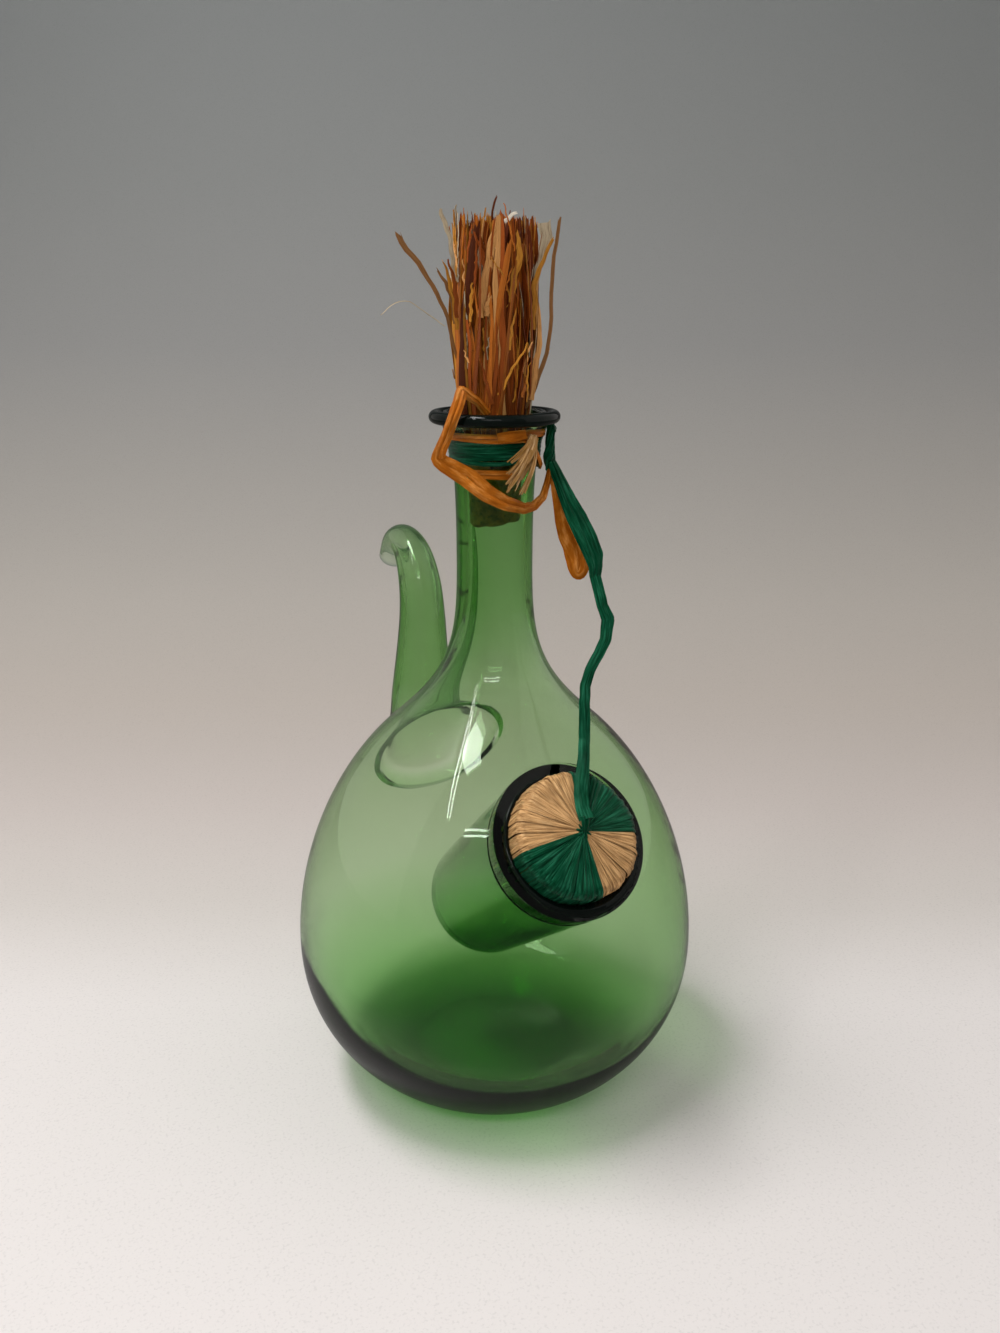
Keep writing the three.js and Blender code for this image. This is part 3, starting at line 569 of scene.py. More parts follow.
def dressed(piece, slot, body, *nodes):
    """Gives a finished piece its material, the body that it rides on, and what it replaces."""
    piece.data.materials.clear()
    piece.data.materials.append(finish_for(slot))
    if body:
        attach(piece, body)
    if nodes:
        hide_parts(*nodes)
    return piece


# Camera and tether

# Where the photograph was taken from, in millimetres, with its tilt and its lens.
EYE = (0, -431.3, 305.4)
TILT = math.radians(72.8)
SENSOR = 36
FOCAL_LENGTH = 31.87
SIDE_SHIFT = 0.0041


class DECANTER_OT_camera(bpy.types.Operator):
    """Sets the camera where the decanter was photographed from"""
    bl_idname = "decanter.camera"
    bl_label = "Camera"

    def execute(self, context):
        data = bpy.data.cameras.new("camera")
        camera = bpy.data.objects.new("camera", data)
        context.collection.objects.link(camera)
        data.sensor_width = SENSOR
        data.lens = FOCAL_LENGTH
        data.shift_x = SIDE_SHIFT
        camera.location = seen(*EYE)
        camera.rotation_euler = Euler((TILT, 0, -HEADING))
        context.scene.camera = camera
        return {"FINISHED"}


# The tether's middle line from the leaf's tip to the pocket's stopper, in millimetres.
TETHER_LINE = [
    (28.1, -29.6, 211.4), (27.5, -32.4, 206.0), (27.1, -34.6, 200.9), (27.6, -37.0, 196.4),
    (25.2, -40.0, 189.7), (22.2, -41.3, 184.8), (18.3, -42.5, 180.1), (15.0, -44.0, 175.0),
    (13.1, -46.5, 169.6), (11.9, -49.8, 163.8), (10.3, -52.9, 158.6), (8.0, -56.0, 154.6),
    (5.6, -58.8, 151.0), (3.4, -61.6, 147.6), (1.8, -65.2, 144.0), (0.8, -69.0, 140.6),
    (0.3, -72.2, 137.9),
]
# Its width at each of these points, as a share of the common one.
TETHER_WIDTHS = (1, 1, 0.98, 1.15, 1.0, 0.93, 0.9, 0.92, 0.95, 0.97, 0.98, 1, 1.1, 1.25, 1.2, 1.2,
                 1.3)
# Loose ribbons turn their flat side this way, to the camera.
FACING = (-0.42, -0.86, 0.29)


class DECANTER_OT_tether(bpy.types.Operator):
    """Lays the free ribbon from the leaf to the pocket's stopper"""
    bl_idname = "decanter.tether"
    bl_label = "Tether"

    def execute(self, context):
        sizes = context.scene.decanter_ties
        rows = []
        for i, (place, wide) in enumerate(zip(TETHER_LINE, TETHER_WIDTHS)):
            tucked = max(0, 1.9 - 0.55 * i)  # under the leaf, at its start
            place = Vector(place) - seen(tucked, 0, 0) / MM
            rows.append((*place, *FACING, wide * sizes.tether_width / MM))
        piece = ribbon("tether_ribbon", rows, strips=1, along=110, crease=0.8, overlap=1.05, seed=3,
                       kinked=True, ragged=0.05)
        dressed(piece, "green_raffia", None, "tether")
        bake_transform(piece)
        return {"FINISHED"}


# Glass

# The spout from its root: how far out and up each ring is, and its radius, in millimetres.
SPOUT_LINE = [
    (8.5, 6.0, 17.5), (13.0, 17.5, 13.8), (12.9, 34.0, 11.5), (12.1, 51.0, 10.0),
    (14.2, 65.0, 9.1), (21.0, 76.0, 8.1), (31.5, 81.0, 7.0), (41.5, 78.8, 6.4), (47.6, 71.0, 6.1),
]
# The root's place to the back and up, its radius, and how steeply it faces upwards.
ROOT_BACK, ROOT_UP, ROOT_RADIUS = 62.044, 123.0, 26.0
ROOT_SLOPE = math.radians(33.03)
# The wall's share of the full spout wall, along the spout from its root to its tip.
SPOUT_WALLS = (0.1, 0.3, 0.6, 0.85, 1), (0.5, 1, 1, 0.6, 0.3)

# The way the shoulder runs up to the neck, as radius and height.
SHOULDER_RUN = Vector((-math.cos(math.radians(41.5)), math.sin(math.radians(41.5))))
SHOULDER_PULL = 0.39  # of the height between belly and shoulder: how far the belly's curve reaches
SHOULDER_EASE = 0.88  # of that reach, on the shoulder's side
NECK_PULL = 0.5  # of the height between shoulder and neck

# How thick the glass is towards the foot, by the height of its outside, in millimetres.
FOOT_WALLS = (0, 3, 9, 15.5, 24, 34, 46, 62), (9.4, 8.8, 6.9, 4.8, 3.4, 2.7, 2.1, 1.55)
# How far the hollow stands aside by its height, as a share of the lean at the foot.
LEANING = (0, 0.03, 0.06, 0.13, 0.165, 0.235, 0.255), (1, 0.35, -0.15, -0.15, 0.22, 0.22, 0)


def outside(s):
    """The flask's outer profile in three parts: under the foot, the lower side, up to the lip."""
    along = SHOULDER_RUN
    foot_edge = (s.base_radius, 0)
    belly = (s.belly_radius, s.belly_height)
    shoulder = Vector((s.shoulder_radius, s.shoulder_height))
    waist = (s.neck_radius, s.neck_height)
    reach = SHOULDER_PULL * (s.shoulder_height - s.belly_height)
    sweep = NECK_PULL * (s.neck_height - s.shoulder_height)
    lip, top = s.lip_radius, s.lip_height
    collar = (s.collar_radius, top - 0.0176)
    low = bend(foot_edge, (s.base_radius + 0.176 * (s.belly_radius - s.base_radius), 0.0029),
               (s.belly_radius, 0.313 * s.belly_height), belly, 30)
    swell = bend(belly, (s.belly_radius, s.belly_height + reach),
                 shoulder - along * SHOULDER_EASE * reach, shoulder, 24)
    neck = bend(shoulder, shoulder + along * sweep,
                (s.neck_radius, s.neck_height - sweep), waist, 24)
    flare = bend(waist, (s.neck_radius, s.neck_height + 0.024),
                 (s.collar_radius - 0.0003, top - 0.022), collar, 10)
    mouth = bend(collar, (s.collar_radius + 0.0003, top - 0.011), (lip, top - 0.009),
                 (lip, top - 0.0025), 12)
    rim = [(lip - 0.001 + 0.001 * math.cos(a), top - 0.0006 + 0.001 * math.sin(a))
           for a in np.linspace(0, math.pi, 9)]
    foot = bend((0, s.kick), (s.base_radius * 0.45, s.kick), (s.base_radius * 0.8, 0.0001),
                (s.base_radius * 0.97, 0), 14)
    return foot, low, swell[1:] + neck[1:] + flare[1:] + mouth[1:] + rim


def inside(s, low):
    """The flask's inner profile, from above the lip down to the middle of the floor. Its lower
    part keeps the walls above from the outer profile's points, low."""
    along = SHOULDER_RUN
    inward = Vector((-along.y, along.x))
    shoulder = Vector((s.shoulder_radius, s.shoulder_height)) + inward * s.shoulder_wall
    belly = (s.belly_radius - s.belly_wall, s.belly_height)
    reach = SHOULDER_PULL * (shoulder.y - belly[1])
    sweep = NECK_PULL * (s.neck_height - shoulder.y)
    mouth = s.lip_radius - 0.002
    top = s.lip_height
    rows = [(0, top + 0.004), (mouth, top + 0.004), (mouth, top - 0.003)]
    rows += bend(rows[-1], (mouth, top - 0.0075), (s.neck_bore, top - 0.0105),
                 (s.neck_bore, top - 0.0186), 12)[1:]
    rows += bend((s.neck_bore, s.neck_height), (s.neck_bore, s.neck_height - sweep),
                 shoulder + along * sweep, shoulder, 24)
    rows += bend(shoulder, shoulder - along * SHOULDER_EASE * reach,
                 (belly[0], belly[1] + reach), belly, 24)[1:]
    for before, here, after in reversed(list(zip(low, low[1:], low[2:]))):
        slope = Vector((after[0] - before[0], after[1] - before[1])).normalized()
        wall = float(np.interp(here[1] / MM, *FOOT_WALLS)) * MM
        rows.append((here[0] - slope.y * wall, here[1] + slope.x * wall))
    edge = rows[-1]
    rows += bend(edge, (edge[0] * 0.4, edge[1]), (edge[0] * 0.2, s.floor_height),
                 (0.0, s.floor_height), 14)[1:]
    return rows


def spout_rings(wall, bore):
    """Rings of the spout's outside, or of its bore past both ends."""
    root = Vector((0, ROOT_BACK, ROOT_UP))
    inward = Vector((0, -math.cos(ROOT_SLOPE), -math.sin(ROOT_SLOPE)))
    flare = (ROOT_RADIUS - SPOUT_LINE[0][2]) / math.hypot(*SPOUT_LINE[0][:2])
    deep = 14 if bore else 5
    rows = [(*(root + inward * deep), ROOT_RADIUS + min(deep, 7) * flare), (*root, ROOT_RADIUS)]
    rows += [(0, ROOT_BACK + y, ROOT_UP + z, r) for y, z, r in SPOUT_LINE]
    line = through(rows, 72)
    rings = []
    for i, (x, y, z, r) in enumerate(line):
        before, after = line[max(i - 1, 0)], line[min(i + 1, len(line) - 1)]
        glass = wall * float(np.interp(i / len(line), *SPOUT_WALLS)) if bore else 0
        rings.append([Vector((x, y, z)) * MM, Vector(after[:3] - before[:3]), r * MM - glass])
    place, along, radius = rings[-1]
    along = along.normalized()
    if bore:
        for share in (0.25, 0.5, 1):
            rings.append([place + along * 0.0014 * share, along, radius + 0.0006 * share])
        rings.append([place + along * 0.004, along, radius + 0.0006])
    else:
        for share in (0.25, 0.5, 0.75, 1):
            a = share * math.pi / 2
            rings.append([place + along * 0.0009 * math.sin(a), along,
                          radius - 0.0009 * (1 - math.cos(a))])
    return rings


def pocket_profile(radius, low, depth, round_end, top, flare=0):
    """A round-ended tube in the pocket's own frame, closed at the top. Radius is at the stopper,
    low is at its end, and flare is how far it spreads at the mouth."""
    end = [(low - round_end + round_end * math.sin(a), -depth + round_end - round_end * math.cos(a))
           for a in np.linspace(0, math.pi / 2, 14)]
    cone = [(low + (radius - low) * share, h) for share, h in ((0.45, -0.055), (0.85, -0.03))]
    mouth = [(radius + flare * share, h) for share, h in
             ((0, -0.016), (0.5, -0.006), (1, 0), (0.9, top))]
    return [(0, -depth)] + end + cone + mouth + [(0, top)]


class DECANTER_OT_glass(bpy.types.Operator):
    """Blows the flask, its spout and its ice pocket as one wall of green glass"""
    bl_idname = "decanter.glass"
    bl_label = "Flask, spout and pocket"

    def execute(self, context):
        s = context.scene.decanter_glass
        foot, low, high = outside(s)
        vessel = spun("glass_vessel", foot + low + high + [(0, s.lip_height + 0.0004)], s.turns)
        hollow = spun("hollow", inside(s, low), s.turns)
        aside = seen(s.lean / MM, 0, 0)
        for v in hollow.data.vertices:
            v.co += aside * float(np.interp(v.co.z, *LEANING))
        cut(vessel, tube("spout_skin", spout_rings(s.spout_wall, False), 64), "UNION")
        cut(hollow, tube("spout_bore", spout_rings(s.spout_wall, True), 64), "UNION")
        profile = pocket_profile(s.pocket_radius, s.pocket_radius - s.pocket_taper,
                                 s.pocket_depth, 0.014, 0.0011, 0.0011)
        skin = spun("pocket_skin", profile, s.turns)
        set_in_place(skin, pocket_place())
        kept = skin.copy()
        kept.data = skin.data.copy()
        context.collection.objects.link(kept)
        cut(vessel, kept, "UNION")
        cut(hollow, skin)
        cut(vessel, hollow)
        profile = pocket_profile(s.pocket_bore, s.pocket_bore - 0.003, s.pocket_depth - 0.003,
                                 0.0122, 0.006)
        bore = spun("pocket_hollow", profile, s.turns)
        set_in_place(bore, pocket_place())
        cut(vessel, bore)
        smooth(vessel, 38)
        dressed(vessel, "green_glass", "vessel", "flask", "spout", "ice_pocket")
        return {"FINISHED"}


def ring_profile(middle, height, wide, deep):
    return [(middle + wide * math.cos(a), height + deep * math.sin(a))
            for a in np.linspace(0, math.tau, 25)]


# The pocket's thread as it is spun, its least radius and how much wider it lies at its low side.
THREAD_START, THREAD_RADIUS, THREAD_SAG = 0.025, 0.0236, 0.0016
LOW_SIDE = Vector((0.34, -0.94, 0))


class DECANTER_OT_threads(bpy.types.Operator):
    """Lays the dark glass threads round the lip and the pocket's mouth"""
    bl_idname = "decanter.threads"
    bl_label = "Dark threads"

    def execute(self, context):
        s = context.scene.decanter_glass
        thick = s.lip_thread
        profile = ring_profile(s.lip_radius + 0.0002 + thick, s.lip_height - 0.0016, thick, thick)
        mouth = spun("mouth_thread", profile, s.turns)
        smooth(mouth, 60)
        dressed(mouth, "dark_glass", "vessel", "lip_ring")
        rim = spun("pocket_thread", ring_profile(THREAD_START, 0, 0.0018, 0.0021), s.turns)
        for v in rim.data.vertices:
            out = Vector((v.co.x, v.co.y, 0)).normalized()
            low = max(0, out.dot(LOW_SIDE)) ** 1.2
            section = v.co - out * THREAD_START
            v.co = out * (THREAD_RADIUS + THREAD_SAG * low) + section * (0.6 + 0.8 * low)
        set_in_place(rim, pocket_place())
        smooth(rim, 60)
        dressed(rim, "dark_glass", "vessel", "pocket_lip")
        return {"FINISHED"}


# Neck stopper

CORK_TOP = 0.25


class DECANTER_OT_cork(bpy.types.Operator):
    """Cuts the neck's worn cork"""
    bl_idname = "decanter.cork"
    bl_label = "Neck cork"

    def execute(self, context):
        s = context.scene.decanter_stoppers
        foot = CORK_TOP - s.cork_length
        r = s.cork_radius
        profile = [(0, foot), (r * 0.5, foot), (r - 0.002, foot + 0.0002),
                   (r - 0.0009, foot + 0.0009)]
        profile += [(r - 0.0006 * (1 - t), foot + 0.002 + (s.cork_length - 0.003) * t)
                    for t in np.linspace(0, 1, 16)]
        profile += [(r - 0.0006, CORK_TOP), (r * 0.5, CORK_TOP), (0, CORK_TOP)]
        piece = spun("cork_plug", profile, 64)
        slope = seen(1, 0, 0).normalized()
        for v in piece.data.vertices:
            reach = math.hypot(v.co.x, v.co.y)
            pit = noise.noise(v.co * 900) * 0.00022 + noise.noise(v.co * 300) * 0.00025
            if reach > r * 0.6:
                v.co.x *= 1 + pit / reach - 0.0002 / reach
                v.co.y *= 1 + pit / reach - 0.0002 / reach
            low = max(0, 1 - (v.co.z - foot) / 0.006)
            worn = 0.0013 * v.co.dot(slope) / r + 0.0008 * noise.noise(v.co * 260)
            v.co.z += low * (0.0012 + worn)
        smooth(piece, 50)
        dressed(piece, "cork", "neck_stopper", "neck_cork")
        return {"FINISHED"}


# Loose straws of the tuft, from the photographed side in millimetres: right, away, up, width.
# The name says which tone they have.
STRAYS = [
    ("brown", [(-13, -5, 286, 1), (-15.1, -6, 294.2, 1.2), (-17, -7, 302.5, 1.3),
               (-23.3, -8, 313.6, 1.7), (-28.9, -9, 321.3, 2), (-32.4, -10, 327, 2.1)]),
    ("dark", [(-0.6, -6, 318, 1), (-0.5, -6, 325.2, 1), (-0.5, -6, 332.9, 0.8),
              (-0.2, -5, 337.4, 0.7), (0.9, -4.4, 339.2, 0.5)]),
    ("pale", [(-16.8, -7, 297.6, 0.3), (-22.9, -8, 301.5, 0.3), (-26.2, -9, 303.2, 0.3),
              (-29.2, -10, 305.5, 0.3), (-34.2, -11, 304.5, 0.3), (-39, -12, 301.2, 0.2)]),
    ("brown", [(-13.6, -7, 298, 1.4), (-14.4, -8, 305.8, 1.6), (-16.5, -9, 310.7, 1.3),
               (-19.5, -10, 315.5, 0.6)]),
    ("gold", [(-13, -8, 296, 1.4), (-13.8, -9, 305, 1.6), (-15.4, -9.4, 312, 1.2),
              (-17.4, -10, 318, 0.5)]),
    ("rust", [(-12.6, -9, 300, 1.3), (-13, -10, 308, 1.5), (-14.2, -10.4, 315, 1),
              (-15.6, -10.6, 319, 0.5)]),
    ("pale", [(12, -3, 300, 1.2), (13.3, -3, 309.1, 2), (15.8, -3, 318.5, 2.8),
              (17.6, -3, 325, 4.2), (17.4, -3, 330, 4.6), (17, -3, 333, 4)]),
    ("brown", [(10.5, -4, 269.2, 1.5), (15.4, -3, 279.8, 1.6), (18.8, -2, 289.7, 1.4),
               (20, -2, 301.8, 1.3), (19.9, -2, 313.7, 1.4), (20.8, -2, 323.2, 1.3),
               (22.3, -2, 332.5, 1)]),
    ("gold", [(13, -5, 296, 1.6), (13.6, -5, 305, 1.8), (14.4, -5, 313, 1.6),
              (17.6, -5, 321.4, 1.2), (20.6, -5, 325.9, 0.8)]),
    ("tan", [(12.6, -4, 272, 2), (14.6, -3, 284, 2), (15.4, -3, 296, 1.8), (14.6, -3, 308, 1.6),
             (15.6, -3, 316, 1)]),
    ("white", [(-0.4, -12, 322, 1), (0.8, -12, 327.4, 1.2), (4.2, -11.4, 331.7, 1.4),
               (7.6, -11, 333.6, 0.8)]),
    ("pale", [(-13.6, -7, 312, 1.2), (-14.6, -8, 321, 1.6), (-16.7, -8, 330.2, 1.6),
              (-18.2, -8, 335, 1.2)]),
    ("tan", [(-4.4, -12.6, 300, 2), (-3.5, -13.2, 309, 2.6), (-2.2, -13.6, 318, 2.8),
             (-0.5, -13, 324.9, 2.8), (1.4, -12.4, 332.8, 2.2)]),
    ("tan", [(-2.6, -13.6, 300.5, 1.6), (-2.2, -13.9, 304, 1.9), (-1.6, -13.9, 307, 1.4)]),
    ("gold", [(5.6, -12.6, 305, 1.6), (6.6, -12.8, 312, 2.2), (8.2, -12.4, 320, 2),
              (7.6, -12, 327, 1.2)]),
]
TONES = {
    "gold": (0.4, 0.165, 0.02), "orange": (0.36, 0.1, 0.012), "rust": (0.2, 0.042, 0.006),
    "dark": (0.085, 0.014, 0.004), "brown": (0.22, 0.1, 0.035), "tan": (0.62, 0.3, 0.1),
    "pale": (0.42, 0.34, 0.23), "white": (0.8, 0.72, 0.6),
}
# The tones of the straws, with their shares on the tuft's left and right sides and among its
# splinters.
MIX = ("gold", "orange", "rust", "dark", "tan", "pale")
LEFT_SHARES = (7, 5, 3, 1, 1, 1.2)
RIGHT_SHARES = (2, 5, 6, 4, 1.4, 0.7)
SPLINTER_MIX = ("gold", "orange", "pale", "tan", "rust")
SPLINTER_SHARES = (5, 4, 3, 2, 2)
# The tuft's radius in the cork, at the lip and at its top, and the height that it starts at.
TUFT_FOOT, TUFT_WAIST, TUFT_TOP = 0.0086, 0.0132, 0.0134
TUFT_START = 0.2455
STRAW_STEPS = 16


class DECANTER_OT_straws(bpy.types.Operator):
    """Stands the tuft of split straws in the neck"""
    bl_idname = "decanter.straws"
    bl_label = "Straw tuft"

    def execute(self, context):
        s = context.scene.decanter_stoppers
        draw = random.Random(11)
        lip = context.scene.decanter_glass.lip_height
        start = blank(4, STRAW_STEPS)
        straws = [self.standing(start, s, draw, lip, i) for i in range(s.straws)]
        straws += [self.splinter(start, s, draw, lip, 600 + i) for i in range(s.splinters)]
        straws += [self.straw(start, hung(line), 900 + i, 0.3, tone, 1)
                   for i, (tone, line) in enumerate(STRAYS)]
        bpy.data.objects.remove(start)
        piece = joined("straw_tuft", straws)
        modified(piece, "SOLIDIFY", thickness=0.00012, offset=0)
        smooth(piece, 40)
        dressed(piece, "straw", "neck_stopper", "straw_front_right", "straw_back_right",
                "straw_back_left", "straw_front_left")
        return {"FINISHED"}

    def standing(self, start, s, draw, lip, i):
        """A straw of the tuft itself, the first ones in the middle."""
        turn = i * math.pi * (3 - math.sqrt(5))
        share = math.sqrt((i + 0.5) / s.straws)
        foot = polar(turn, TUFT_FOOT * share, TUFT_START)
        cropped = draw.random() < 0.3 and share > 0.6
        reach = draw.uniform(0.3, 0.8) if cropped else 1 - 0.22 * draw.random() ** 1.6
        turn += draw.gauss(0, 0.26)
        away = polar(turn)
        across = Vector((-away.y, away.x, 0))
        top = polar(turn, TUFT_TOP * share * draw.uniform(0.8, 1.06), lip + s.tuft_height * reach)
        if draw.random() < 0.2 and share > 0.75:
            top += away * draw.uniform(0.0005, 0.0026)
        waist = polar(turn, TUFT_WAIST * share, lip + 0.004)
        top += across * draw.gauss(0, 0.003)
        middle = (waist + top) / 2 + away * 0.0012 * share + across * draw.gauss(0, 0.0019)
        wide = s.straw_width * (0.45 + 2.2 * draw.random() ** 2) / MM
        flat = draw.gauss(0, 0.6) + (0 if share > 0.6 else draw.uniform(-1, 1))
        face = Matrix.Rotation(flat, 3, "Z") @ away
        places = (foot, waist, middle, middle.lerp(top, 0.8), top)
        line = [row(at, face, w * wide) for at, w in zip(places, (0.8, 1, 1, 0.95, 0.6))]
        right = foot.dot(seen(1, 0, 0)) / MM / TUFT_FOOT / share
        shares = [(1 - right) * a + (1 + right) * b for a, b in zip(LEFT_SHARES, RIGHT_SHARES)]
        tone = draw.choices(MIX, shares)[0]
        return self.straw(start, line, i, draw.gauss(0, 0.8), tone, draw.uniform(0.7, 1.5))

    def splinter(self, start, s, draw, lip, seed):
        """A short splinter that stands off from the tuft's outside."""
        away = polar(draw.uniform(0, math.tau))
        across = Vector((-away.y, away.x, 0))
        low = lip + s.tuft_height * draw.uniform(0.05, 0.85)
        foot = away * (0.0128 + 0.0012 * draw.random()) + Vector((0, 0, low))
        run = Vector((0, 0, 1)) + across * draw.gauss(0, 0.24) + away * draw.uniform(-0.05, 0.2)
        run *= min(draw.uniform(0.007, 0.018), lip + s.tuft_height * 1.06 - foot.z)
        wide = draw.uniform(0.35, 1.5)
        tip = foot + run + across * draw.gauss(0, 0.0012)
        line = [row(foot, away, wide), row(foot + run * 0.5, away, wide),
                row(tip, away, wide * 0.5)]
        tone = draw.choices(SPLINTER_MIX, SPLINTER_SHARES)[0]
        return self.straw(start, line, seed, draw.gauss(0, 0.6), tone, draw.uniform(0.8, 1.5))

    def straw(self, start, rows, seed, twist, tone, shade):
        """One split straw on a line of rows like a ribbon's: hollow across, ragged at its end."""
        line = through(rows, STRAW_STEPS + 1)

        def place(u, v):
            i = round(v * STRAW_STEPS)
            here, before, after = line[i], line[max(i - 1, 0)], line[min(i + 1, STRAW_STEPS)]
            travel = Vector(after[:3] - before[:3]).normalized()
            side = Vector(here[3:6]).cross(travel).normalized()
            side = Matrix.Rotation(twist * v, 3, travel) @ side
            wide = here[6]
            across = wide * u * (1 + 0.25 * noise.noise(Vector((u * 2, v * 9, seed * 1.7))))
            across += 0.9 * noise.noise(Vector((v * 6, seed * 2.3, 9)))
            at = Vector(here[:3]) + side * across
            at += travel.cross(side) * wide * (0.07 - 0.3 * u * u)
            if v > 0.99:
                at += travel * wide * 2.5 * noise.noise(Vector((u * 6, seed * 3.1, 4)))
            return at * MM

        straw = laid(start, "straw", place, size=(line[:, 6].mean(), 90),
                     shift=(seed * 5.3, seed * 11.7))
        paint = straw.data.color_attributes.new("tone", "FLOAT_COLOR", "POINT")
        for spot in paint.data:
            spot.color = (*tinted(TONES[tone], shade), 1)
        return straw


# Pocket stopper

FACE_EDGE = 0.0036  # rounding of the face into the side
FOOT_EDGE = 0.004  # and of the side into the underside
CROWN = math.tan(math.radians(9))  # slope of the face up to its middle
HOLE = 0.004


def wound_outline(radius, top, sunk):
    """Points of (radius, height) over the stopper, from the middle of its face to below."""
    face = radius - FACE_EDGE
    under = radius - FOOT_EDGE
    rows = [(r, top + (face - r) * CROWN) for r in np.linspace(0.0012, face, 9)]
    rows += [(face + FACE_EDGE * math.sin(a), top - FACE_EDGE + FACE_EDGE * math.cos(a))
             for a in np.linspace(0.16, math.pi / 2, 9)[1:]]
    rows += [(radius, h) for h in np.linspace(top - FACE_EDGE, -sunk + FOOT_EDGE, 7)[1:]]
    rows += [(under + FOOT_EDGE * math.cos(a), -sunk + FOOT_EDGE - FOOT_EDGE * math.sin(a))
             for a in np.linspace(0, math.pi / 2, 5)[1:]]
    rows += [(r, -sunk) for r in np.linspace(under, HOLE, 5)[1:]]
    return rows


# Each sector of the winding: its slot, where it starts and ends in degrees, and its strips.
SECTORS = [
    ("raffia_green_upper", "green_raffia", -9, 81, 22),
    ("raffia_natural_upper", "natural_raffia", 81, 186, 26),
    ("raffia_green_lower", "green_raffia", 186, 276, 22),
    ("raffia_natural_lower", "natural_raffia", 276, 351, 19),
]


class DECANTER_OT_winding(bpy.types.Operator):
    """Winds the raffia of the pocket's stopper, sector by sector"""
    bl_idname = "decanter.winding"
    bl_label = "Raffia winding"

    def execute(self, context):
        s = context.scene.decanter_stoppers
        draw = random.Random(5)
        line = wound_outline(s.plug_radius - 0.0003, s.plug_proud - 0.0003, s.plug_sunk)
        steps = len(line) - 1
        start = blank(4, steps)
        for name, slot, first, last, count in SECTORS:
            strips = []
            order = list(range(count))
            draw.shuffle(order)
            for k in order:
                centre = math.radians(first + (last - first) * (k + 0.5) / count)
                spread = math.radians((last - first) / count) * draw.uniform(0.95, 1.5)
                lift = draw.uniform(-0.0006, 0.0003)
                lean = draw.gauss(0, 0.035)
                ridge = draw.uniform(-0.3, 0.3)
                phase = draw.uniform(0, 6)

                def place(u, v):
                    i = round(v * steps)
                    r, h = line[i]
                    before, after = line[max(i - 1, 0)], line[min(i + 1, steps)]
                    out = Vector((before[1] - after[1], 0, after[0] - before[0])).normalized()
                    turn = centre + lean * v + u * spread
                    edge = min(math.radians(last), max(math.radians(first), turn))
                    swell = 0.0004 * (1 - 1.5 * abs(u - ridge)) + lift
                    swell += 0.00016 * noise.noise(Vector((u * 4 + k, v * 14, phase)))
                    swell *= min(1, r / 0.006)
                    at = Vector((r + out.x * swell, 0, h + out.z * swell))
                    return Matrix.Rotation(edge, 3, "Z") @ at

                strips.append(laid(start, "strip", place, size=(1.8, 62), shift=(k * 7.7, k * 23)))
            piece = joined(name + "_strips", strips)
            modified(piece, "SOLIDIFY", thickness=0.0003, offset=-1)
            set_in_place(piece, pocket_place())
            smooth(piece, 30)
            dressed(piece, slot, "ice_stopper", name)
        bpy.data.objects.remove(start)
        return {"FINISHED"}


# The tether's end over the knot, as a ribbon's rows in the pocket's frame.
TAIL_OVER_KNOT = [(0.4, 4.2, 17.2, 0, -0.3, 1, 3.6), (0.2, 2, 16.4, 0, -0.5, 1, 3),
                  (0, 0.3, 15, 0, -0.8, 1, 2.2), (0, -0.8, 13.4, 0, -1, 0.6, 1.4)]


class DECANTER_OT_tuck(bpy.types.Operator):
    """Gathers the raffia where the tether enters the stopper, and gives its core its cork"""
    bl_idname = "decanter.tuck"
    bl_label = "Stopper's middle and core"

    def execute(self, context):
        start = blank(72, 10)

        def place(u, v):
            turn = u * math.tau
            pleat = 0.5 + 0.5 * math.sin(turn * 9 + 2.5 * v + noise.noise(Vector((u * 6, v, 3))))
            r = 0.0036 * v * (0.9 + 0.15 * pleat)
            h = 0.0126 + 0.0018 * (1 - v) ** 0.7 + 0.0007 * pleat * math.sin(math.pi * v)
            if v > 0.95:
                h = 0.0117
            return Vector((r * math.cos(turn), r * math.sin(turn), h))

        piece = laid(start, "centre_tuck", place, size=(26, 5))
        bpy.data.objects.remove(start)
        closed_up(piece)
        tail = ribbon("tail", TAIL_OVER_KNOT, strips=2, along=16, crease=0.5, seed=4)
        piece = joined("centre_tuck", [piece, tail])
        set_in_place(piece, pocket_place())
        smooth(piece, 60)
        dressed(piece, "green_raffia", "ice_stopper", "centre_knot")
        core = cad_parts["ice_cork"]
        for spot in core.material_slots:
            spot.material = finish_for("cork")
        return {"FINISHED"}


# Ties

# The neck's outside radius, by the drop below the lip, in millimetres.
NECK_RADII = (0, 3, 4.8, 10.5, 17.6, 26), (18.9, 18.9, 17.7, 15.8, 15.2, 14.75)
# The angle of the green knot and of the frayed knot from the front.
GREEN_SIDE, FRAYED_SIDE = 56.5, 9.5


def turns_round(start, turns, drop_at, stand_at, steps):
    """Rows of a ribbon wound round the neck, from an angle, for some turns. It stands off the
    glass by some millimetres."""
    lip = bpy.context.scene.decanter_glass.lip_height
    rows = []
    for i in range(turns * steps + 1):
        turn = i / steps
        angle = start + 360 * turn
        drop = drop_at(turn)
        radius = float(np.interp(drop, *NECK_RADII)) + stand_at(turn)
        rows.append(row(around(angle, radius * MM, drop * MM, lip), outward(angle), 2.5))
    return rows


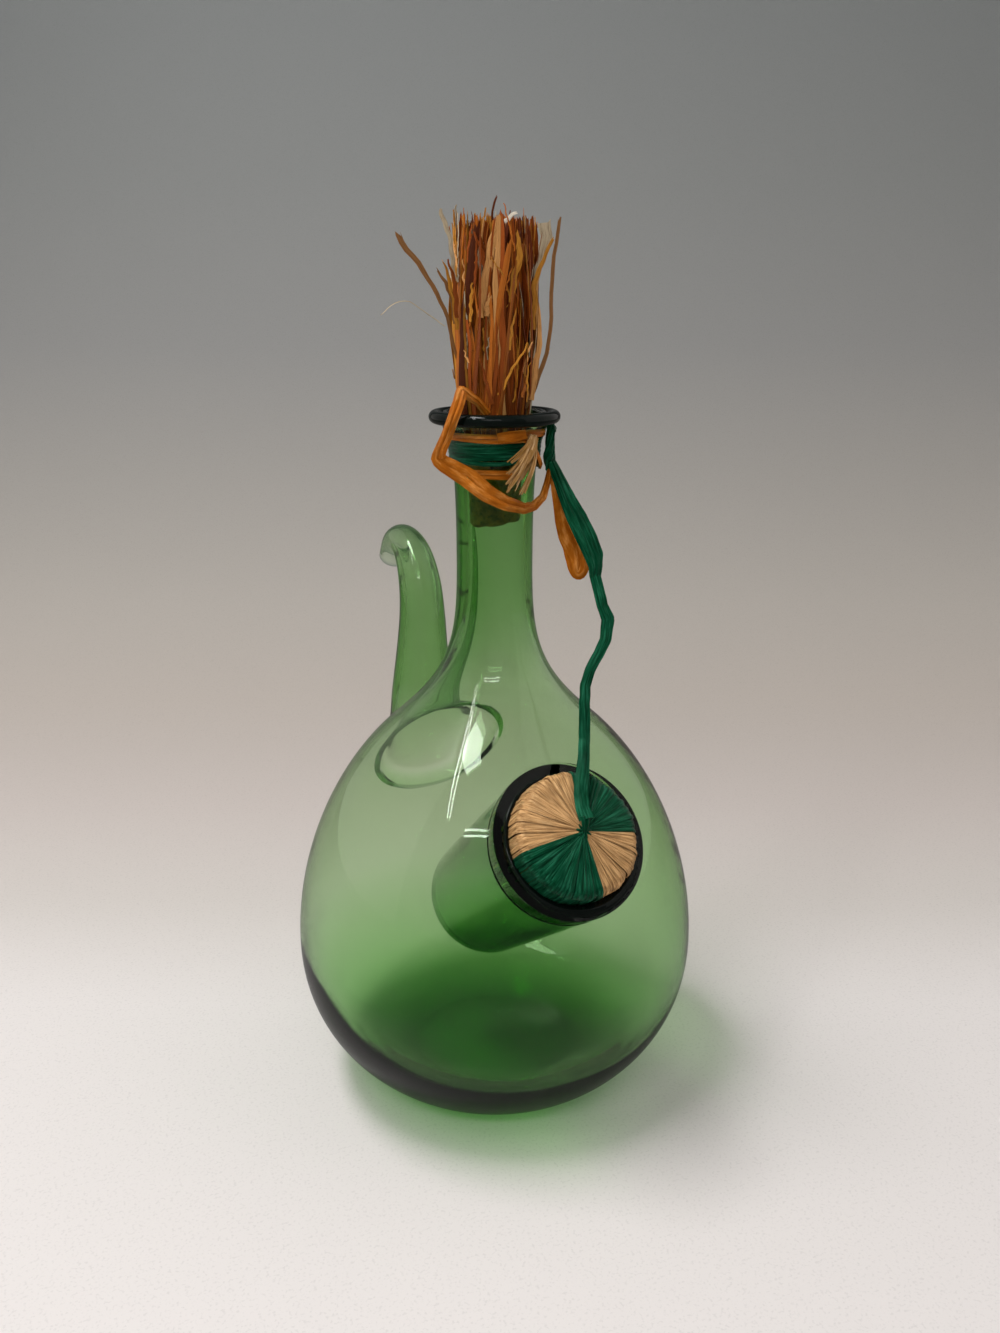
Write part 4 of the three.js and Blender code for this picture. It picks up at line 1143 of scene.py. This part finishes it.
class DECANTER_OT_ties(bpy.types.Operator):
    """Winds the green and orange turns round the neck"""
    bl_idname = "decanter.ties"
    bl_label = "Ties"

    def execute(self, context):
        rows = turns_round(GREEN_SIDE, 5, lambda turn: 16.8 - 1.45 * turn, lambda turn: 0.8, 40)
        wrap = ribbon("green_wrap", rows, strips=2, along=300, crease=0.28, overlap=1.2, seed=8)
        dressed(wrap, "green_raffia", "vessel", "neck_wrap")

        crossing = 38 / 360  # of a turn, from above the green wrap to below it

        def drop_at(turn):
            slant = min(max((turn - 1) / crossing, 0), 1)
            return 6.4 + 1.6 * min(turn, 1) + 10.6 * slant + 2.2 * max(turn - 1 - crossing, 0)

        def stand_at(turn):
            return 2.4 if 1 <= turn <= 1 + crossing else 0.9

        rows = turns_round(FRAYED_SIDE, 2, drop_at, stand_at, 48)
        turns = ribbon("orange_turns", rows, strips=2, along=200, crease=0.25, overlap=1.2, seed=9)
        front = hung([(1, -18.8, 260.1, 2.7), (6, -18.2, 260.8, 2.9), (10.9, -16.6, 261.6, 2.3)])
        front = ribbon("front", front, strips=1, along=12, crease=0.2, seed=17)
        turns = joined("orange_turns", [turns, front])
        dressed(turns, "orange_raffia", "vessel", "orange_tie")
        return {"FINISHED"}


class DECANTER_OT_knots(bpy.types.Operator):
    """Ties the green knot and frays the tan one"""
    bl_idname = "decanter.knots"
    bl_label = "Knots"

    def execute(self, context):
        lip = context.scene.decanter_glass.lip_height
        self.green(lip)
        self.frayed(lip, random.Random(21))
        return {"FINISHED"}

    def green(self, lip):
        """Seven strands twisted round each other, and three short ends."""
        out = outward(GREEN_SIDE)
        side = Vector((0, 0, 1)).cross(out)
        strands = []
        for k in range(7):
            rows = []
            for i in range(13):
                t = i / 12
                swell = 0.95 + 1.25 * math.exp(-((t - 0.68) / 0.2) ** 2)
                turn = k / 7 * math.tau + 3.4 * t
                face = side * math.cos(turn) + out * math.sin(turn)
                at = around(GREEN_SIDE, 0.0202, (3.6 + 17 * t) * MM, lip)
                at += (side * math.cos(turn) * 0.75 + out * math.sin(turn) * 0.7) * swell * MM
                rows.append(row(at, face, 1.3 + 0.6 * swell))
            strands.append(ribbon("strand", rows, strips=1, along=30, crease=0.3, seed=30 + k))
        for angle, fall in ((-50, 3.2), (-20, 4.4), (35, 2.6)):
            at = around(GREEN_SIDE, 0.0208, 4.6 * MM, lip) / MM
            tip = at + side * math.sin(math.radians(angle)) * 2.6 + out - Vector((0, 0, fall * 0.5))
            rows = [(*at, *out, 1.1), (*((at + tip) / 2 + out * 0.4), *out, 0.9), (*tip, *out, 0.5)]
            strands.append(ribbon("strand", rows, strips=1, along=8, seed=50 + int(fall)))
        knot = joined("green_knot_strands", strands)
        dressed(knot, "green_raffia", "vessel", "green_knot")

    def frayed(self, lip, draw):
        """Thirty loose strands that fan out as they fall."""
        out = outward(FRAYED_SIDE)
        side = Vector((0, 0, 1)).cross(out)
        strands = []
        for k in range(30):
            fan = draw.uniform(-1, 1)
            start = draw.uniform(6.6, 10)
            fall = draw.uniform(8, 19)
            bow = draw.uniform(0.2, 1.8)
            wide = draw.uniform(0.5, 2.0)
            face = out + side * draw.uniform(-0.8, 0.8)
            rows = []
            for i in range(6):
                t = i / 5
                radius = 0.0204 + 0.0014 * math.sin(math.pi * t) * bow
                at = around(FRAYED_SIDE, radius, (start + fall * t) * MM, lip)
                at += side * (2.6 - 8 * t + fan * (0.9 + 3.4 * t)) * MM
                rows.append(row(at, face, wide * (1 - 0.6 * t * t)))
            strands.append(ribbon("strand", rows, strips=1, along=14, thickness=0.15, crease=0.25,
                                  seed=60 + k))
        piece = joined("frayed_strands", strands)
        dressed(piece, "tan_raffia", "vessel", "frayed_knot")


# The loose ribbons, from the photographed side in millimetres: right, away, up, width.
BOW_LINE = [
    (-2.3, -12.5, 268, 2.6), (-5.7, -14.5, 272.3, 2.8), (-9.6, -16.6, 275.4, 3.4),
    (-11.4, -18.6, 276.4, 4.0), (-12.3, -21, 272.6, 3.7), (-14.2, -23.4, 266.8, 3.6),
    (-16.2, -22.6, 260.9, 3.9), (-18.6, -20.4, 255.6, 4.3), (-19.3, -19.6, 253.2, 4.9),
    (-17.2, -19.6, 251.4, 5.5), (-9.9, -20.7, 246.9, 5.9), (-3, -21.7, 241.7, 5.5),
    (4, -20.4, 237.8, 4.6), (10.4, -17, 235.4, 3.5), (14.1, -12.4, 235.5, 2.8),
    (17.4, -8.2, 238.2, 2.5), (18.9, -5.4, 242.7, 2.2), (20, -4, 247.5, 2),
]
TAIL_LINE = [
    (20.4, -4, 247.3, 1.6), (22.3, -5, 240.2, 3.4), (24.4, -6, 233.1, 4.8),
    (25.7, -6.6, 226, 5.6), (26.6, -7.2, 219.4, 5.6), (27.8, -8, 213, 4.5),
    (29.6, -8.8, 209.6, 3.4), (31.8, -9.3, 209.8, 3.0), (32.8, -9.2, 213.6, 3.2),
    (31.6, -8.6, 219.7, 3.7), (29, -7.8, 226.2, 3.9), (26.4, -6.8, 233.3, 3.6),
    (23.6, -5.6, 240.4, 2.8), (21.4, -4.6, 247.4, 1.6),
]
LEAF_LINE = [
    (20.6, -4.6, 250.3, 2.4), (22.1, -6, 246.6, 3.8), (25.6, -8.6, 239, 5.6),
    (29.6, -11.2, 231, 6.6), (33, -13.4, 223.5, 6.9), (35.4, -14.4, 217.8, 6.4),
    (36.2, -14.9, 214.4, 4.6), (36.3, -15, 210.4, 3.7),
]


class DECANTER_OT_loops(bpy.types.Operator):
    """Lets the orange loops and the green leaf hang from the neck"""
    bl_idname = "decanter.loops"
    bl_label = "Loose ribbons"

    def execute(self, context):
        loop = ribbon("orange_bow", hung(BOW_LINE), strips=2, along=150, crease=0.85,
                      overlap=1.15, seed=12, kinked=True)
        dressed(loop, "orange_raffia", "vessel", "orange_loop")
        tail = ribbon("orange_tail", hung(TAIL_LINE), strips=1, along=100, crease=0.6,
                      overlap=1.1, seed=14)
        dressed(tail, "orange_raffia", "vessel", "orange_tail_loop")
        leaf = ribbon("green_leaf_ribbon", hung(LEAF_LINE), strips=2, along=70, crease=0.95,
                      overlap=1.2, seed=15, kinked=True, ragged=0.08)
        dressed(leaf, "green_raffia", "vessel", "green_leaf")
        return {"FINISHED"}


# Stage

FLAT = 0.35  # how far behind the decanter the floor starts to rise
BOW = 0.9  # radius of that rise
REACH = 1.6  # of the floor in front
TALL = 1.9
HALF_WIDTH = 0.72  # to the booth's side walls
CORNER = 0.1  # radius where they meet the floor
BELOW = Vector((0, 0, -0.0002))  # the floor keeps clear of the foot
WALL_START = 0.5  # how far in front of the decanter the side walls start

LINING = REACH + FLAT + BOW * math.pi / 2 + TALL - BOW
STRAIGHT = HALF_WIDTH - CORNER
BENT = CORNER * math.pi / 2
# The lining's colours, by how far behind the decanter they are, along it: painted shade that
# darkens the floor behind and the back towards the top.
LINING_SHADE_PAINTS = [
    (0.13, (0.57, 0.53, 0.5)), (0.26, (0.53, 0.475, 0.445)), (0.45, (0.475, 0.425, 0.385)),
    (0.62, (0.43, 0.395, 0.36)), (0.85, (0.34, 0.322, 0.3)), (1.05, (0.265, 0.262, 0.256)),
    (1.3, (0.228, 0.234, 0.23)), (1.7, (0.188, 0.202, 0.204)),
]
ROOM_LIGHT = (0.264, 0.264, 0.26, 1)


def booth_point(run, across):
    """A point of the booth's lining. run goes from the front edge along the floor and up the
    back, and across from the top of the left wall over the floor to the top of the right one."""
    out = abs(across)
    if out < STRAIGHT:
        x, lift = out, 0
    elif out < STRAIGHT + BENT:
        a = (out - STRAIGHT) / CORNER
        x, lift = STRAIGHT + CORNER * math.sin(a), CORNER * (1 - math.cos(a))
    else:
        x, lift = HALF_WIDTH, CORNER + out - STRAIGHT - BENT
    if run < FLAT:
        away, up = run, 0
    elif run < FLAT + BOW * math.pi / 2:
        a = (run - FLAT) / BOW
        away, up = FLAT + BOW * math.sin(a), BOW * (1 - math.cos(a))
    else:
        away, up = FLAT + BOW, BOW + run - FLAT - BOW * math.pi / 2
    return Vector((math.copysign(x, across), away, max(up, lift)))


class DECANTER_OT_stage(bpy.types.Operator):
    """Sets the pale booth, the lamps and the world"""
    bl_idname = "decanter.stage"
    bl_label = "Stage and lamps"

    def execute(self, context):
        heading = Matrix.Rotation(-HEADING, 3, "Z")

        def lining_place(u, v):
            return heading @ booth_point(v * LINING - REACH, u * 2 * (STRAIGHT + BENT)) + BELOW

        sheet = blank(60, 120)
        sweep = laid(sheet, "sweep", lining_place)
        smooth(sweep, 60)
        self.set_up(sweep, sheet, self.lining(context.scene.decanter_finishes.floor))
        for side in (-1, 1):
            sheet = blank(2, 30)

            def wall_place(u, v):
                run = v * (FLAT + BOW + WALL_START) - WALL_START
                low = 0 if run < FLAT else BOW * (1 - math.cos(math.asin((run - FLAT) / BOW)))
                return heading @ Vector((side * HALF_WIDTH, run, low + (u + 0.5) * (TALL - low)))

            self.set_up(laid(sheet, "side_wall", wall_place), sheet, self.wall())

        self.lamp("key", (-520, -150, 1700), (0.9, 0.3), 18.4)
        self.lamp("fill", (150, -1100, 1000), (1.2, 1.2), 1)
        for row_side in (-1, 1):
            self.lamp("tube", (-95, -954, 922 + 34 * row_side), (0.62, 0.02), 1.2)
            self.lamp("strip", (-430 + 17 * row_side, -430 - 8 * row_side, 900), (0.58, 0.012), 1.0,
                      math.atan2(-520, -260))
        world = bpy.data.worlds.new("room")
        context.scene.world = world
        world.use_nodes = True
        light = world.node_tree.nodes["Background"]
        light.inputs["Color"].default_value = ROOM_LIGHT
        light.inputs["Strength"].default_value = 1
        context.scene.view_settings.view_transform = "Standard"
        context.scene.cycles.max_bounces = 24
        context.scene.cycles.transmission_bounces = 20
        context.scene.cycles.transparent_max_bounces = 24
        return {"FINISHED"}

    def set_up(self, part, sheet, paint):
        """Paints a part of the booth, and removes the flat sheet that it was laid from."""
        bpy.data.objects.remove(sheet)
        part.data.materials.clear()
        part.data.materials.append(paint)

    def lamp(self, name, at, size, watts, heading=None):
        """A flat lamp at a place from the photographed side, in millimetres, turned to the
        decanter, or facing down with its length along a heading."""
        data = bpy.data.lights.new(name, "AREA")
        data.shape = "RECTANGLE"
        data.size, data.size_y = size
        data.energy = watts
        lamp = bpy.data.objects.new(name, data)
        bpy.context.collection.objects.link(lamp)
        lamp.location = seen(*at)
        if heading is None:
            aim = Vector((0, 0, 0.1)) - lamp.location
            lamp.rotation_euler = aim.to_track_quat("-Z", "Y").to_euler()
        else:
            lamp.rotation_euler = Euler((0, 0, heading - HEADING))

    def lining(self, floor):
        """The booth's floor and back: speckled white, with painted shade that darkens the floor
        behind and the back towards the top. In reflections the lining is painted darker still, a
        painted stand-in for the dim room."""
        material, tree, shell = nodes_of("booth_lining", 0.65)
        part = node(tree, "SeparateXYZ")
        stops = [(-0.1, floor), (0.04, floor), *LINING_SHADE_PAINTS]
        paint = ramp(tree, [((run + REACH) / LINING, colour) for run, colour in stops])
        speck = node(tree, "TexNoise", Scale=900, Detail=2)
        dots = ramp(tree, [(0.3, grey(0.9)), (0.45, grey(1))])
        wire(tree, node(tree, "UVMap"), "UV", "Vector", part, "Y", "Fac", paint)
        wire(tree, node(tree, "TexCoord"), "Object", "Vector", speck, "Fac", "Fac", dots)
        # Painted reflection shade: glossy rays, but not transmission rays, see the lining at 0.3 of
        # its colour.
        rays = node(tree, "LightPath")
        only = node(tree, "Math", operation="SUBTRACT", use_clamp=True)
        painted_dark_reflection = node(tree, "Mix", data_type="RGBA", blend_type="MULTIPLY")
        painted_dark_reflection.inputs["B"].default_value = (*grey(0.3), 1)
        wire(tree, rays, "Is Glossy Ray", 0, only, "Value", "Factor", painted_dark_reflection)
        wire(tree, rays, "Is Transmission Ray", 1, only)
        wire(tree, multiplied(tree, paint, dots), "Result", "A", painted_dark_reflection, "Result", "Base Color",
             shell)
        return material

    def wall(self):
        """The booth's side walls: white, with painted shade that darkens them towards the top."""
        material, tree, shell = nodes_of("booth_wall", 0.7)
        part = node(tree, "SeparateXYZ")
        paint = ramp(tree, [(0.0, (0.8, 0.78, 0.76)), (0.4, (0.75, 0.74, 0.72)),
                            (0.9, (0.5, 0.5, 0.49))])
        wire(tree, node(tree, "UVMap"), "UV", "Vector", part, "X", "Fac", paint, "Color",
             "Base Color", shell)
        return material


# The panel and the order of work

ORDER = (
    DECANTER_OT_camera, DECANTER_OT_tether, DECANTER_OT_glass, DECANTER_OT_threads,
    DECANTER_OT_cork, DECANTER_OT_straws, DECANTER_OT_winding, DECANTER_OT_tuck,
    DECANTER_OT_ties, DECANTER_OT_knots, DECANTER_OT_loops, DECANTER_OT_stage,
)
GROUPS = {
    "decanter_glass": GlassSizes,
    "decanter_stoppers": StopperSizes,
    "decanter_ties": TieSizes,
    "decanter_finishes": Finishes,
}


class DECANTER_PT_parts(bpy.types.Panel):
    """Sizes, colours and the pieces of the decanter"""
    bl_label = "Decanter"
    bl_space_type = "VIEW_3D"
    bl_region_type = "UI"
    bl_category = "Decanter"

    def draw(self, context):
        for group in GROUPS:
            values = getattr(context.scene, group)
            box = self.layout.box()
            for key in values.__annotations__:
                box.prop(values, key)
        for operator in ORDER:
            self.layout.operator(operator.bl_idname)


CLASSES = (*GROUPS.values(), *ORDER, DECANTER_PT_parts)


def register():
    for cls in CLASSES:
        bpy.utils.register_class(cls)
    for name, group in GROUPS.items():
        setattr(bpy.types.Scene, name, PointerProperty(type=group))


def unregister():
    for name in GROUPS:
        delattr(bpy.types.Scene, name)
    for cls in reversed(CLASSES):
        bpy.utils.unregister_class(cls)


def main():
    register()
    bpy.ops.decanter.camera()
    bpy.ops.decanter.tether()
    bpy.ops.decanter.glass()
    bpy.ops.decanter.threads()
    bpy.ops.decanter.cork()
    bpy.ops.decanter.straws()
    bpy.ops.decanter.winding()
    bpy.ops.decanter.tuck()
    bpy.ops.decanter.ties()
    bpy.ops.decanter.knots()
    bpy.ops.decanter.loops()
    bpy.ops.decanter.stage()


if __name__ == "__main__":
    main()
